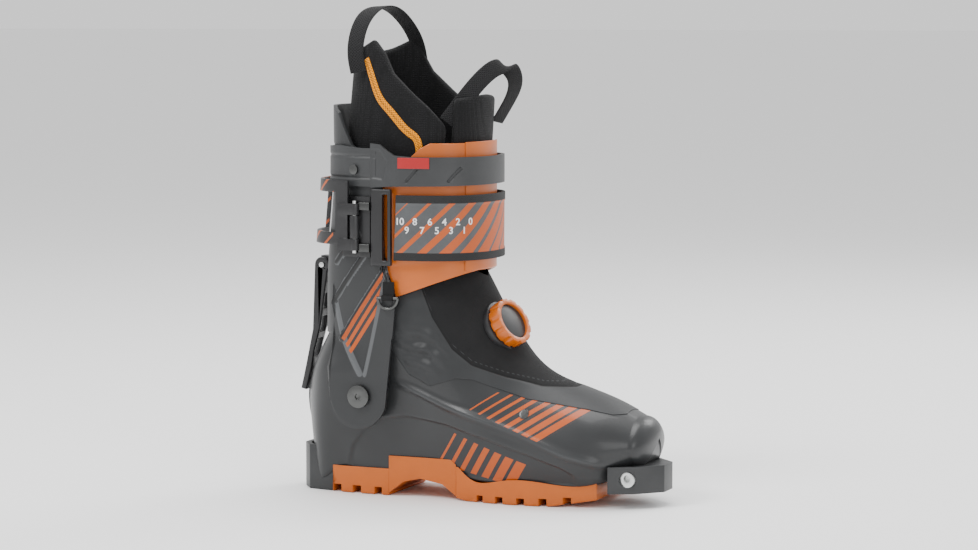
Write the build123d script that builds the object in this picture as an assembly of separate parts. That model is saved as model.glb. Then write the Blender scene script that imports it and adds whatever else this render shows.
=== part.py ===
"""Alpine touring ski boot for the right foot, as an assembly of separate pieces.

+X points to the toe, +Y to the inner side of the foot and +Z up. The origin is on the
ground, under the middle of the heel tread. All sizes are in millimetres.
"""

from build123d import *
import math
import os
from collections import namedtuple

# ---- driving dimensions -------------------------------------------------------------
SOLE_BACK = -45.0  # rear face of the heel fitting
SOLE_FRONT = 244.0  # front of the toe ledge
SHELL_FRONT = SOLE_FRONT - 13.0  # tip of the shell above the ledge
TREAD_FRONT = SOLE_FRONT - 45.0  # front of the forefoot tread
PIVOT_X = 17.0  # cuff pivot axis, along Y
PIVOT_Z = 76.0
HEEL_RADIUS = 58.5  # round back of the shell, about the pivot axis
SHELL_WALL = 3.5
GAITER_WALL = 2.5
LINER_WALL = 6.0
SHAFT_WALL = 7.0  # liner round the leg
LINER_GAP = 0.5  # between shell and liner
FOOTBED_GAP = 0.6
FOOTBED_TOP = 29.0
CUFF_WALL = 3.0
CUFF_HALF_WIDTH = 52.0
CUFF_FRONT = 105.0  # front of the leg oval
CUFF_BACK = -20.0
CUFF_BACK_LOW = -26.0
CUFF_TOP_BACK = 294.0
CUFF_TOP_SIDE = 258.0
ARM_WALL = 5.0
CUFF_EDGE_X = 38.0  # front edge of the cuff's side wings
CUFF_LEAN_CLEAR = 60.2  # the cuff stays outside this radius about the pivot
ARM_RADIUS = 25.0  # round lower end of each cuff arm
ARM_INSIDE = CUFF_HALF_WIDTH - 6.0  # half the space between the cuff arms
PIN_GAP = 0.05  # round every bolt and pin
BOLT_RADIUS = 5.0  # shank that the cuff turns on
BOLT_HEAD_RADIUS = 8.5
BOLT_HEAD_HEIGHT = 3.0
BOLT_KEY_RADIUS = 2.5  # hexagon in the bolt's head
BOLT_KEY_DEPTH = 1.5
BUSH_RADIUS = 12.0
BUSH_GAP = 0.3
RIVET_RADIUS = 3.4  # rivets on the shell
RIVET_HEIGHT = 1.4
CUFF_RIVET_RADIUS = 3.6
CUFF_RIVET_HEIGHT = 1.2
FREE = 0.4  # gap between pieces that move past each other
SEAT = 0.15  # gap between fixed neighbours with curved faces
ANKLE_RADIUS = 123.0  # the gaiter ends at this radius about the pivot
FLEX_FORWARD = 10.0  # cuff travel from the skiing position, degrees
SHAFT_START = 47.0  # angle above the horizontal at which the liner's shaft begins
FOOT_END = SHAFT_START - FLEX_FORWARD - 1.5  # angle at which the liner's foot ends
LINER_TOP_BACK = 338.0
LINER_TOP_FRONT = 296.0
TONGUE_PLATE_TOP = 266.0
TONGUE_PLATE_WALL = 2.4
UPPER_STRAP_LOW = 233.0
UPPER_STRAP_HIGH = 256.0
UPPER_STRAP_WALL = 2.6
COLLAR_END = 24.0  # where the wing ends and the upper strap begins
WIDE_STRAP_LOW = 179.0
WIDE_STRAP_HIGH = 228.0
WIDE_STRAP_WALL = 2.8
FRAME_BACK = 29.0  # the wide strap's frame, along X
FRAME_FRONT = 45.0
FRAME_WALL = 4.5
FRAME_BAR = 4.0
SOLE_TOP = 15.0  # where the rubber meets the shell
HEEL_TREAD_BACK = -14.0
HEEL_TREAD_FRONT = 34.0
FOREFOOT_TREAD_BACK = 90.0
TOE_LEDGE_LOW = 11.0
TOE_LEDGE_HIGH = 31.0
TOE_FITTING_X = SOLE_FRONT - 22.0  # axis of the toe binding sockets, along Y
TOE_FITTING_Z = 22.5
TOE_FITTING_HALF = 30.0  # half the width over the two toe fittings
TOE_PLUG_RADIUS = 5.6
TOE_PLUG_DEPTH = 7.0
TOE_SOCKET_RADIUS = 2.6
TOE_SOCKET_DEPTH = 5.0
DIAL_X = 116.0
DIAL_Y = -9.0
DIAL_Z = 128.0
DIAL_TILT = 29.0  # the dial's face above the horizontal
DIAL_TURN = 12.0  # the dial's face towards the outer side
DIAL_RADIUS = 18.0
DIAL_HEIGHT = 13.0
DIAL_RIM = 4.0  # width of the knob's ring
DIAL_NOTCHES = 12
DIAL_BASE_HEIGHT = 5.0
DIAL_SEAT = 0.2
LEVER_TOP_X = -34.0  # pivot of the walk lever
LEVER_TOP_Z = 170.0
LEVER_PIN_RADIUS = 2.0
LEVER_HALF = 7.5  # half width of the walk lever
LUG_HALF = 4.5  # half width of the lug between its sides
LUG_RADIUS = 6.0
HEEL_PLATE_THICK = 4.4
HEEL_PLATE_WIDE = 22.0
HEEL_PLATE_HIGH = 20.0
HEEL_SLOT_SPACING = 7.5  # from the middle to each slot
HEEL_SCREW_RADIUS = 2.0
GAITER_TOP = 172.0
WEBBING_WIDE = 14.0
WEBBING_THICK = 1.6
TONGUE_HALF = 30.0  # half width of the liner's tongue
TONGUE_LOW = 180.0  # where the liner's tongue starts
BUCKLE_X = 16.0  # hinge pin of the buckle's lever
BUCKLE_Y = -CUFF_HALF_WIDTH - 4.35
BUCKLE_PIN_RADIUS = 1.5
EAR_RADIUS = BUCKLE_PIN_RADIUS + 2.0
HOOK_FRONT = 28.5  # front of the hooks, inside the strap's frame
BUCKLE_PLATE_WALL = 3.0
BUCKLE_LEVER_LOW = 190.0
BUCKLE_LEVER_HIGH = 238.0
BUCKLE_LEVER_BAR = 9.0
RING_X = 42.0  # bar of the leash ring, along X
RING_Y = -CUFF_HALF_WIDTH - 2.6
RING_Z = 151.0
RING_RADIUS = 8.0
RING_WIRE = 1.2  # radius of the ring's wire
TAB_WIDTH = 9.0

# ---- foot outline -------------------------------------------------------------------
# One cross-section of the foot at x: its centre line, half widths at the sole, at the
# widest level and at the shoulder, and the heights of those levels and of the top.
Foot = namedtuple("Foot", "x centre sole wide shoulder low mid high top")
FOOT = [
    Foot(-41.0, 0.0, 8.0, 15.0, 9.0, 46.0, 68.0, 88.0, 96.0),
    Foot(-34.0, 0.0, 20.0, 26.0, 17.0, 20.0, 62.0, 98.0, 108.0),
    Foot(-14.0, 0.0, 30.0, 37.0, 32.0, SOLE_TOP, 62.0, 122.0, 140.0),
    Foot(20.0, 0.0, 33.0, 40.5, 37.5, SOLE_TOP, 88.0, 176.0, 220.0),
    Foot(60.0, 0.0, 34.0, 41.0, 36.5, 21.0, 84.0, 176.0, 218.0),
    Foot(95.0, 0.5, 37.0, 46.0, 31.0, 17.0, 54.0, 140.0, 174.0),
    Foot(130.0, 1.5, 42.0, 51.0, 31.0, SOLE_TOP, 42.0, 92.0, 112.0),
    Foot(165.0, 3.0, 41.0, 51.0, 33.0, SOLE_TOP, 40.0, 74.0, 87.0),
    Foot(SOLE_FRONT - 44.0, 5.0, 34.0, 45.0, 31.0, 17.0, 40.0, 64.0, 74.0),
    Foot(SOLE_FRONT - 22.0, 5.0, 18.0, 32.0, 21.0, 27.0, 44.0, 58.0, 64.0),
    Foot(SHELL_FRONT, 5.0, 10.0, 20.0, 11.0, 33.0, 44.0, 51.0, 54.0),
]
DEEP_INSET = 7.0  # from here on an inset leaves out the two end sections
# Side view of the line where the gaiter meets the shell.
GAITER_EDGE = [
    (SOLE_FRONT - 38.0, 66.0),
    (160.0, 74.0),
    (112.0, 83.0),
    (74.0, 87.0),
    (54.0, 94.0),
    (44.0, 108.0),
    (30.0, 126.0),
]

# One cross-section of the leg at z: back, front and half width of the cuff's outside.
Leg = namedtuple("Leg", "z back front half")
LEG = [
    Leg(84.0, CUFF_BACK_LOW, CUFF_FRONT - 3.0, CUFF_HALF_WIDTH - 2.0),
    Leg(128.0, CUFF_BACK_LOW, CUFF_FRONT, CUFF_HALF_WIDTH - 1.0),
    Leg(170.0, CUFF_BACK_LOW + 1.0, CUFF_FRONT, CUFF_HALF_WIDTH),
    Leg(228.0, CUFF_BACK, CUFF_FRONT, CUFF_HALF_WIDTH),
    Leg(285.0, CUFF_BACK + 0.5, CUFF_FRONT, CUFF_HALF_WIDTH),
    Leg(345.0, CUFF_BACK + 1.0, CUFF_FRONT, CUFF_HALF_WIDTH),
]


# ---- shapes shared by several pieces ------------------------------------------------
def side_plate(points, low_y, high_y):
    """A prism across the boot from a closed outline in the XZ plane."""
    outline = Plane.XZ * make_face(Polyline(*points, close=True))
    return Pos(0, high_y, 0) * extrude(outline, high_y - low_y)


def side_disc(radius, low_y=-120.0, high_y=120.0, x=PIVOT_X, z=PIVOT_Z):
    """A cylinder along Y, centred on the pivot axis unless told otherwise."""
    disc = Rot(90, 0, 0) * Cylinder(radius, high_y - low_y)
    return Pos(x, (low_y + high_y) / 2, z) * disc


def wedge(low_angle, high_angle, reach=420.0):
    """The sector of the side view between two angles about the pivot axis."""
    middle = (low_angle + high_angle) / 2
    corners = [(PIVOT_X, PIVOT_Z)]
    for angle in (low_angle, middle, high_angle):
        turn = math.radians(angle)
        corners.append((PIVOT_X + reach * math.cos(turn), PIVOT_Z + reach * math.sin(turn)))
    return side_plate(corners, -120.0, 120.0)


def foot_face(section, place, inset):
    """The closed outline of one foot section, drawn in by inset and set at x = place."""
    plane = Plane(origin=(place, section.centre, 0), x_dir=(0, 1, 0), z_dir=(1, 0, 0))
    sole = section.sole - inset
    wide = section.wide - inset
    shoulder = section.shoulder - inset
    low = section.low + inset
    high = section.high - inset / 2
    top = section.top - inset
    upper = [(sole, low), (wide, section.mid), (shoulder, high), (0, top)]
    upper += [(-shoulder, high), (-wide, section.mid), (-sole, low)]
    return plane * make_face(Spline(*upper) + Line(upper[-1], upper[0]))


def foot_solid(inset):
    """The foot's shape, drawn in by inset all round. A deep inset leaves out the small end sections."""
    sections = FOOT if inset < DEEP_INSET else FOOT[1:-1]
    places = [section.x for section in sections]
    places[0] = FOOT[0].x + inset
    places[-1] = FOOT[-1].x - inset
    return loft([foot_face(section, place, inset) for section, place in zip(sections, places)])


def leg_face(section, grow):
    """The closed oval of one leg section, grown outwards by grow."""
    middle = (section.back + section.front) / 2
    long_half = (section.front - section.back) / 2 + grow
    half = section.half + grow
    corner = 0.80  # share of both half axes reached on the diagonal of the oval
    points = [
        (long_half, 0),
        (long_half * corner, half * corner * 0.92),
        (0, half),
        (-long_half * corner, half * corner * 0.92),
        (-long_half, 0),
        (-long_half * corner, -half * corner * 0.92),
        (0, -half),
        (long_half * corner, -half * corner * 0.92),
    ]
    return Pos(middle, 0, section.z) * make_face(Spline(*points, periodic=True))


def leg_solid(grow):
    """The leg's shape, grown outwards by grow."""
    return loft([leg_face(section, grow) for section in LEG])


def leg_band(inner, outer, low, high):
    """A level ring round the leg, between two growths and two heights."""
    slab = Pos(40, 0, (low + high) / 2) * Box(300, 300, high - low)
    return (leg_solid(outer) - leg_solid(inner)) & slab


def largest(shape):
    """The biggest solid of a cut shape, without its off-cuts."""
    return shape.solids().sort_by(SortBy.VOLUME)[-1]


def write(name, shape):
    """Writes one named piece."""
    export_step(shape, os.path.join("parts", name + ".step"))


# ---- regions that split the boot into bodies -----------------------------------------
def ankle_disc():
    """Everything that stays with the foot around the ankle, whatever the cuff does."""
    return side_disc(HEEL_RADIUS)


def gaiter_region():
    """Everything above and in front of the line where the gaiter meets the shell."""
    front = SOLE_FRONT + 16
    corners = [*GAITER_EDGE, (30.0, GAITER_TOP), (front, GAITER_TOP), (front, 66.0)]
    return side_plate(corners, -90.0, 90.0)


def foot_region():
    """The foot's side of the split between the liner's foot and its shaft."""
    return wedge(-90.0, FOOT_END) + wedge(-190.0, -90.0) + side_disc(HEEL_RADIUS - SEAT)


# ---- foot: shell, sole, fittings -----------------------------------------------------
def lower_shell():
    """The hard clog, open at the instep and round the ankle."""
    wall = foot_solid(0) - foot_solid(SHELL_WALL)
    wall -= gaiter_region()
    ankle_x = GAITER_EDGE[-2][0]
    above = side_plate([(-60, 60), (-60, 230), (ankle_x, 230), (ankle_x, 60)], -90, 90)
    wall -= above - ankle_disc()
    wall -= Pos(100, 0, PIVOT_Z + HEEL_RADIUS + 100) * Box(400, 200, 200)
    return largest(wall)


def gaiter_wall():
    """The soft overlay that closes the instep and the front of the ankle."""
    wall = foot_solid(0) - foot_solid(GAITER_WALL)
    front = SOLE_FRONT - 14
    low_front = side_plate([(100, 60), (100, 125), (front, 125), (front, 60)], -90, 90)
    wall = wall & gaiter_region() & (side_disc(ANKLE_RADIUS) + low_front)
    return wall & side_plate([(30, 60), (30, 230), (front, 230), (front, 60)], -90, 90)


def toe_block(back, half_front, half_back):
    """A block as high as the toe ledge, with a blunt front, seen from above."""
    front = SOLE_FRONT
    low, high = TOE_LEDGE_LOW, TOE_LEDGE_HIGH
    corner = half_front * 0.62
    points = [(back, -half_back), (front - corner, -half_front), (front, -half_front * 0.35)]
    points += [(x, -y) for x, y in reversed(points)]
    outline = make_face(Polyline(*points, close=True))
    return Pos(0, 0, low) * extrude(outline, high - low)


def toe_ledge():
    """The hard toe block that the binding holds, with seats for its two fittings."""
    block = toe_block(SOLE_FRONT - 35, TOE_FITTING_HALF - 3, TOE_FITTING_HALF + 6)
    block -= foot_solid(-SEAT)
    for side in (-1, 1):
        block -= fitting_body(side, SEAT)
        way_in = sorted((side * TOE_FITTING_HALF, side * (TOE_FITTING_HALF + 20)))
        block -= side_disc(TOE_PLUG_RADIUS + SEAT, *way_in, TOE_FITTING_X, TOE_FITTING_Z - 1)
    return largest(block)


def fitting_body(side, grow=0.0):
    """The round steel plug of one toe fitting."""
    inner = side * (TOE_FITTING_HALF - TOE_PLUG_DEPTH - grow)
    outer = side * (TOE_FITTING_HALF + grow)
    return side_disc(TOE_PLUG_RADIUS + grow, *sorted((inner, outer)), TOE_FITTING_X, TOE_FITTING_Z - 1)


def toe_fitting(side):
    """A toe fitting with the round socket for the binding's pin."""
    plug = fitting_body(side) - foot_solid(-SEAT)
    span = sorted((side * (TOE_FITTING_HALF - TOE_SOCKET_DEPTH), side * TOE_FITTING_HALF))
    return plug - side_disc(TOE_SOCKET_RADIUS, *span, TOE_FITTING_X, TOE_FITTING_Z)


def sole_plan(grow=0.0):
    """The sole's outline from above, as a tall prism."""
    right = [(section.x, section.centre - section.sole - grow) for section in FOOT[2:9]]
    left = [(section.x, section.centre + section.sole + grow) for section in reversed(FOOT[2:9])]
    edges = Spline(*right) + Line(right[-1], left[0]) + Spline(*left) + Line(left[-1], right[0])
    return Pos(0, 0, -5) * extrude(make_face(edges), 60)


def sole_block(profile, grooves):
    """A tread from its side view, with square grooves across it, each at x with a width."""
    block = (sole_plan(2.0) & side_plate(profile, -80, 80)) - foot_solid(-SEAT)
    for groove_x, width, top in grooves:
        block -= Pos(groove_x, 0, top - 50) * Box(width, 200, 100)
    return block


def sole_heel():
    """The heel tread."""
    back, front = HEEL_TREAD_BACK, HEEL_TREAD_FRONT
    profile = [(back, 0), (front, 0), (front, 20), (back, 20)]
    return sole_block(profile, [(-10, 7, 5.5), (7, 7, 5.5), (25, 6, 5.5)])


def sole_arch():
    """The raised rubber between the two treads."""
    back = HEEL_TREAD_FRONT + SEAT
    front = FOREFOOT_TREAD_BACK - SEAT
    profile = [(back, 2), (46, 11), (60, 14), (78, 11), (front, 3), (front, 30), (back, 30)]
    return sole_block(profile, [])


def sole_forefoot():
    """The forefoot tread with its toe spring."""
    back, front = FOREFOOT_TREAD_BACK, TREAD_FRONT
    profile = [(back, 2), (back + 8, 0), (164, 0), (front, 5.5), (front, 25), (back, 25)]
    grooves = [(110, 5, 5), (126, 6, 5), (143, 6, 5), (160, 6, 5.5), (178, 6, 7)]
    return sole_block(profile, grooves)


def heel_block():
    """The hard block at the back of the sole that carries the heel fitting."""
    front = HEEL_TREAD_BACK - FREE
    points = [(SOLE_BACK, -14), (SOLE_BACK + 9, -26), (front, -30)]
    points += [(x, -y) for x, y in reversed(points)]
    block = extrude(make_face(Polyline(*points, close=True)), 34.0)
    return block - foot_solid(-SEAT) - heel_fitting_body(SEAT)


def heel_fitting_body(grow=0.0):
    """The steel plate let into the back of the heel block."""
    size = (HEEL_PLATE_THICK, HEEL_PLATE_WIDE, HEEL_PLATE_HIGH)
    return Pos(SOLE_BACK + HEEL_PLATE_THICK / 2, 0, 20) * Box(*(side + 2 * grow for side in size))


def heel_fitting():
    """The heel plate with the two upright slots for the binding's heel pins."""
    plate = heel_fitting_body()
    for side in (-1, 1):
        plate -= Pos(SOLE_BACK + 1.2, side * HEEL_SLOT_SPACING, 17) * Box(4, 4, 15)
    return plate - Pos(SOLE_BACK + 1, 0, 24) * (Rot(0, 90, 0) * Cylinder(HEEL_SCREW_RADIUS + 2 * PIN_GAP, 8))


def heel_screw():
    """The screw that holds the heel plate."""
    return Pos(SOLE_BACK + 2, 0, 24) * (Rot(0, 90, 0) * Cylinder(HEEL_SCREW_RADIUS, 3))


def pivot_bolt(side):
    """The bolt that the cuff turns on, with its flat head outside the arm."""
    outside = ARM_INSIDE + ARM_WALL
    shank = side_disc(BOLT_RADIUS, *sorted((side * (ARM_INSIDE - 2.0), side * (outside + 1.0))))
    top = outside + BOLT_HEAD_HEIGHT
    head = side_disc(BOLT_HEAD_RADIUS, *sorted((side * (outside + FREE), side * top)))
    hexagon = Plane.XZ * RegularPolygon(BOLT_KEY_RADIUS, 6)
    key = Pos(PIVOT_X, side * top + BOLT_KEY_DEPTH, PIVOT_Z) * extrude(hexagon, 2 * BOLT_KEY_DEPTH)
    return shank + head - key


def pivot_boss(side):
    """The bush between the shell and the cuff arm, on the pivot axis."""
    ring = side_disc(BUSH_RADIUS, *sorted((side * 40.0, side * (ARM_INSIDE - BUSH_GAP))))
    ring -= foot_solid(-SEAT)
    return largest(ring - side_disc(BOLT_RADIUS + PIN_GAP))


def shell_rivet(x, z, side):
    """A round-headed rivet on the shell's side, standing on its surface."""
    rod = side_disc(RIVET_RADIUS, *sorted((side * 20.0, side * 75.0)), x, z)
    return largest(rod & (foot_solid(-RIVET_HEIGHT) - foot_solid(-PIN_GAP)))


def heel_catch():
    """The steel plate on the back of the shell that the walk lever locks on."""
    plate = side_disc(HEEL_RADIUS + 1.4, -6, 6) - side_disc(HEEL_RADIUS + 0.2, -8, 8)
    return plate & side_plate([(-60, 82), (-60, 98), (-20, 98), (-20, 82)], -8, 8)


def footbed():
    """The insole board inside the liner."""
    inset = SHELL_WALL + LINER_GAP + LINER_WALL + FOOTBED_GAP
    back, front = -30, SOLE_FRONT - 29
    low, high = 18, FOOTBED_TOP
    slab = side_plate([(back, low), (back, high), (front, high), (front, low)], -80, 80)
    return largest(foot_solid(inset) & slab)


# ---- liner ---------------------------------------------------------------------------
def liner_foot():
    """The liner's foot part, inside the shell and the gaiter."""
    outer = SHELL_WALL + LINER_GAP
    wall = foot_solid(outer) - foot_solid(outer + LINER_WALL)
    return largest(wall & foot_region())


def shaft_solid(inset):
    """The leg shape that the liner's shaft is cut from."""
    levels = [
        Leg(100.0, -17.0, 90.0, 32.0),
        Leg(135.0, -15.0, 90.0, 32.0),
        Leg(168.0, -14.0, 90.5, 32.5),
        Leg(205.0, -12.0, CUFF_FRONT - 9.0, CUFF_HALF_WIDTH - 12.0),
        Leg(240.0, -11.0, CUFF_FRONT - 7.0, CUFF_HALF_WIDTH - 9.0),
        Leg(290.0, -7.0, CUFF_FRONT - 4.0, CUFF_HALF_WIDTH - 9.0),
        Leg(LINER_TOP_BACK + 7.0, -2.0, CUFF_FRONT - 1.0, CUFF_HALF_WIDTH - 11.0),
    ]
    return loft([leg_face(section, -inset) for section in levels])


def liner_top_cut():
    """The space above the liner's top line: a peak at the back, then a long fall to the front."""
    line = [(-60, LINER_TOP_BACK - 20), (2, LINER_TOP_BACK - 10), (14, LINER_TOP_BACK)]
    line += [(44, LINER_TOP_BACK - 25), (69, LINER_TOP_BACK - 47), (96, LINER_TOP_FRONT - 34)]
    above = LINER_TOP_BACK + 60
    return side_plate([*line, (140, LINER_TOP_FRONT - 34), (140, above), (-60, above)], -90, 90)


def tongue_column(half):
    """The upright space down the front that the liner's tongue fills."""
    height = LINER_TOP_FRONT - TONGUE_LOW
    return Pos(110, 0, TONGUE_LOW + height / 2) * Box(70, 2 * half, height)


def liner_shaft():
    """The liner's leg part, open down the front for the liner's tongue."""
    wall = shaft_solid(0) - shaft_solid(SHAFT_WALL)
    wall &= wedge(SHAFT_START, 200)
    wall -= side_disc(HEEL_RADIUS + 0.8)
    wall -= liner_top_cut()
    wall -= tongue_column(TONGUE_HALF + SEAT)
    return largest(wall)


def liner_tongue():
    """The padded tongue down the front of the liner."""
    wall = (shaft_solid(0) - shaft_solid(SHAFT_WALL)) & tongue_column(TONGUE_HALF)
    return largest(wall)


def pull_loop(x, z, width, height, turn, lean=0.0):
    """A standing loop of webbing across the boot, its feet at z."""
    outer = Ellipse(width / 2, height)
    inner = Ellipse(width / 2 - WEBBING_THICK, height - WEBBING_THICK)
    ring = extrude(Plane.XZ * (outer - inner), WEBBING_WIDE)
    ring = Pos(0, WEBBING_WIDE / 2, 0) * ring
    ring -= Pos(0, 0, -height) * Box(width * 2, WEBBING_WIDE * 2, 2 * height)
    return Pos(x, 0, z) * (Rot(0, lean, 0) * (Rot(0, 0, turn) * ring))


# ---- cuff ----------------------------------------------------------------------------
def cuff_shell():
    """The stiff C round the back of the leg, with an arm down to each pivot."""
    wall = leg_solid(0) - leg_solid(-CUFF_WALL)
    low = 122.0
    side_view = [
        (-60, low),
        (CUFF_EDGE_X + 7, low),
        (CUFF_EDGE_X + 8, 150),
        (CUFF_EDGE_X, 178),
        (CUFF_EDGE_X - 4, 228),
        (CUFF_EDGE_X - 4, UPPER_STRAP_HIGH - 2),
        (12, CUFF_TOP_SIDE + 4),
        (-6, CUFF_TOP_BACK - 6),
        (-60, CUFF_TOP_BACK),
    ]
    wall = (wall & side_plate(side_view, -90, 90)) - side_disc(CUFF_LEAN_CLEAR, -ARM_INSIDE, ARM_INSIDE)
    arm_view = [(-8, PIVOT_Z), (-14, 140), (CUFF_EDGE_X + 5, 140), (CUFF_EDGE_X + 3, PIVOT_Z)]
    for side in (-1, 1):
        span = sorted((side * ARM_INSIDE, side * (ARM_INSIDE + ARM_WALL)))
        arm = side_disc(ARM_RADIUS, *span) + side_plate(arm_view, *span)
        wall += arm - side_disc(BOLT_RADIUS + PIN_GAP, *span)
    return largest(wall)


def tongue_plate():
    """The thin plastic plate over the shin, tucked inside the cuff."""
    outer = -CUFF_WALL - SEAT
    wall = leg_solid(outer) - leg_solid(outer - TONGUE_PLATE_WALL)
    top = TONGUE_PLATE_TOP
    side_view = [(24, 176), (44, 148), (54, 152), (112, 174), (130, 174)]
    side_view += [(130, top), (66, top), (52, 250), (24, 246)]
    return wall & side_plate(side_view, -90, 90)


def strap_band(low, high, wall, start_x):
    """A strap from the outer side round the front to the inner side."""
    band = leg_band(SEAT, SEAT + wall, low, high)
    return band - Pos(start_x - 100, 0, 0) * Box(200, 300, 800)


def cuff_collar():
    """The flexible wing that carries the upper strap round the back of the cuff."""
    band = leg_band(SEAT, SEAT + UPPER_STRAP_WALL, UPPER_STRAP_LOW, UPPER_STRAP_HIGH + 8)
    return band - Pos(COLLAR_END + 100, 0, 0) * Box(200, 300, 800)


def strap_frame():
    """The frame that the wide strap passes through and turns back from."""
    low, high = WIDE_STRAP_LOW - FRAME_BAR, WIDE_STRAP_HIGH + FRAME_BAR
    middle = (FRAME_BACK + FRAME_FRONT) / 2
    ring = leg_band(SEAT, SEAT + FRAME_WALL, low, high) & outer_slab(middle, FRAME_FRONT - FRAME_BACK)
    window = leg_band(-2, 8, WIDE_STRAP_LOW, WIDE_STRAP_HIGH) & outer_slab(FRAME_FRONT - 4.5, 4)
    return ring - window


def outer_slab(middle, length):
    """A tall slab over the outer side, along X."""
    return Pos(middle, -CUFF_HALF_WIDTH, 0) * Box(length, 60, 800)


def buckle_base():
    """The plate on the outer side that carries the buckle's lever and hooks."""
    low, high = WIDE_STRAP_LOW + 2, WIDE_STRAP_HIGH - 2
    plate = leg_band(SEAT, SEAT + BUCKLE_PLATE_WALL, low, high) & outer_slab(BUCKLE_X, 24)
    plate += upright_pin(EAR_RADIUS + 0.2, low + 14, high - 14)
    for start, end in ear_spans():
        plate -= upright_pin(EAR_RADIUS + FREE, start - FREE, end + FREE)
    return plate - upright_pin(BUCKLE_PIN_RADIUS + PIN_GAP, low - 20, high + 20)


def ear_spans():
    """The heights between which each of the lever's two ears holds the pin."""
    low, high = WIDE_STRAP_LOW + 7, WIDE_STRAP_HIGH - 7
    return ((low, low + 8.5), (high - 8.5, high))


def upright_pin(radius, low, high):
    """A cylinder on the buckle lever's hinge axis."""
    return Pos(BUCKLE_X, BUCKLE_Y, (low + high) / 2) * Cylinder(radius, high - low)


def buckle_pin():
    """The steel pin that the buckle lever turns on."""
    return upright_pin(BUCKLE_PIN_RADIUS, WIDE_STRAP_LOW + 5, WIDE_STRAP_HIGH - 5)


def buckle_lever():
    """The looped lever that closes the wide strap, wrapped round the back of the cuff."""
    low, high = BUCKLE_LEVER_LOW, BUCKLE_LEVER_HIGH
    inner, outer = 6.8, 9.4  # how far the lever's faces stand off the cuff
    band = leg_band(inner, outer, low, high) & (Pos(-31, -CUFF_HALF_WIDTH + 12, 0) * Box(85, 76, 800))
    opening = leg_band(inner - 1, outer + 3, low + BUCKLE_LEVER_BAR, high - BUCKLE_LEVER_BAR)
    opening &= Pos(-36, -CUFF_HALF_WIDTH + 12, 0) * Box(72, 70, 800)
    lever = band - (opening - Pos(-36, 6, 0) * Box(20, 20, 800))
    for start, end in ear_spans():
        ear = upright_pin(EAR_RADIUS, start, end)
        arm = Pos(BUCKLE_X - 6, BUCKLE_Y - 1.6, (start + end) / 2) * Box(13, 3.0, end - start)
        lever += ear + arm
    return lever - upright_pin(BUCKLE_PIN_RADIUS + PIN_GAP, low - 30, high + 30)


def buckle_hooks():
    """The two hooks that tie the buckle to the strap's frame."""
    hooks = []
    back = BUCKLE_X + EAR_RADIUS  # clear of the lever's ears
    slab = outer_slab((back + HOOK_FRONT) / 2, HOOK_FRONT - back)
    for z in (WIDE_STRAP_LOW + 9, WIDE_STRAP_HIGH - 9):
        hook = leg_band(SEAT + BUCKLE_PLATE_WALL + 0.2, SEAT + 6.0, z - 3, z + 3) & slab
        hooks.append(hook)
    return Part() + hooks


# ---- walk lever ----------------------------------------------------------------------
def lever_lug():
    """The lug on the back of the cuff that the walk lever hangs from."""
    lug = Pos(LEVER_TOP_X + 4, 0, LEVER_TOP_Z) * Box(12, 2 * LUG_HALF, 14)
    lug += side_disc(LUG_RADIUS, -LUG_HALF, LUG_HALF, LEVER_TOP_X, LEVER_TOP_Z)
    return lug - leg_solid(SEAT) - lever_bore()


def lever_bore():
    """The hole through the lug and the walk lever for their pin."""
    return side_disc(LEVER_PIN_RADIUS + PIN_GAP, -20, 20, LEVER_TOP_X, LEVER_TOP_Z)


def lever_pin():
    """The steel pin through the lug and the lever."""
    reach = LEVER_HALF + 0.7
    return side_disc(LEVER_PIN_RADIUS, -reach, reach, LEVER_TOP_X, LEVER_TOP_Z)


def walk_lever():
    """The long lever that locks the cuff to the heel, with open windows down its length."""
    x, z = LEVER_TOP_X, LEVER_TOP_Z
    body = [(x - 6, z), (x - 8, z - 50), (-48, 92), (-52, 74), (-48, 73)]
    body += [(-43.4, 90), (-41, 104), (x - 2, z - 48), (x + 5, z)]
    lever = side_plate(body, -LEVER_HALF, LEVER_HALF)
    lever += side_disc(LUG_RADIUS, -LEVER_HALF, LEVER_HALF, x, z)
    lever -= Pos(x + 2, 0, z) * Box(26, 2 * (LUG_HALF + FREE), 26)
    for middle in (z - 28, z - 46):
        lever -= Pos(x - 1.5, 0, middle) * Box(40, 8, 12)
    lever -= Pos(-43, 0, z - 64) * Box(40, 8, 14)
    return lever - lever_bore()


# ---- dial ----------------------------------------------------------------------------
def dial_frame():
    """The dial's own plane: its Z axis is the axis that the dial turns on."""
    tilt = math.radians(DIAL_TILT)
    turn = math.radians(DIAL_TURN)
    normal = (math.cos(tilt) * math.cos(turn), -math.sin(turn), math.sin(tilt) * math.cos(turn))
    return Plane(origin=(DIAL_X, DIAL_Y, DIAL_Z), x_dir=(0, 1, 0.2), z_dir=normal)


def dial_base():
    """The round housing sewn into the gaiter."""
    base = Cylinder(DIAL_RADIUS + 1.5, DIAL_BASE_HEIGHT) + Pos(0, 0, 1) * Cylinder(5.0, 9)
    return dial_frame() * base - foot_solid(-DIAL_SEAT)


def dial_knob():
    """The ribbed ring that is turned to tighten the lace."""
    height = DIAL_HEIGHT - 4
    knob = Pos(0, 0, DIAL_BASE_HEIGHT / 2 + FREE + height / 2) * Cylinder(DIAL_RADIUS, height)
    knob -= Cylinder(DIAL_RADIUS - DIAL_RIM, 60)
    for index in range(DIAL_NOTCHES):
        knob -= Rot(0, 0, index * 360 / DIAL_NOTCHES) * (Pos(DIAL_RADIUS + 1.6, 0, 6) * Cylinder(2.6, 40))
    return dial_frame() * knob


def dial_face():
    """The flat cap in the middle of the knob."""
    low = 5.5 + 2 * FREE
    cap = Pos(0, 0, low + 1.8) * Cylinder(DIAL_RADIUS - DIAL_RIM - SEAT, 3.6)
    return dial_frame() * cap


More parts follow.
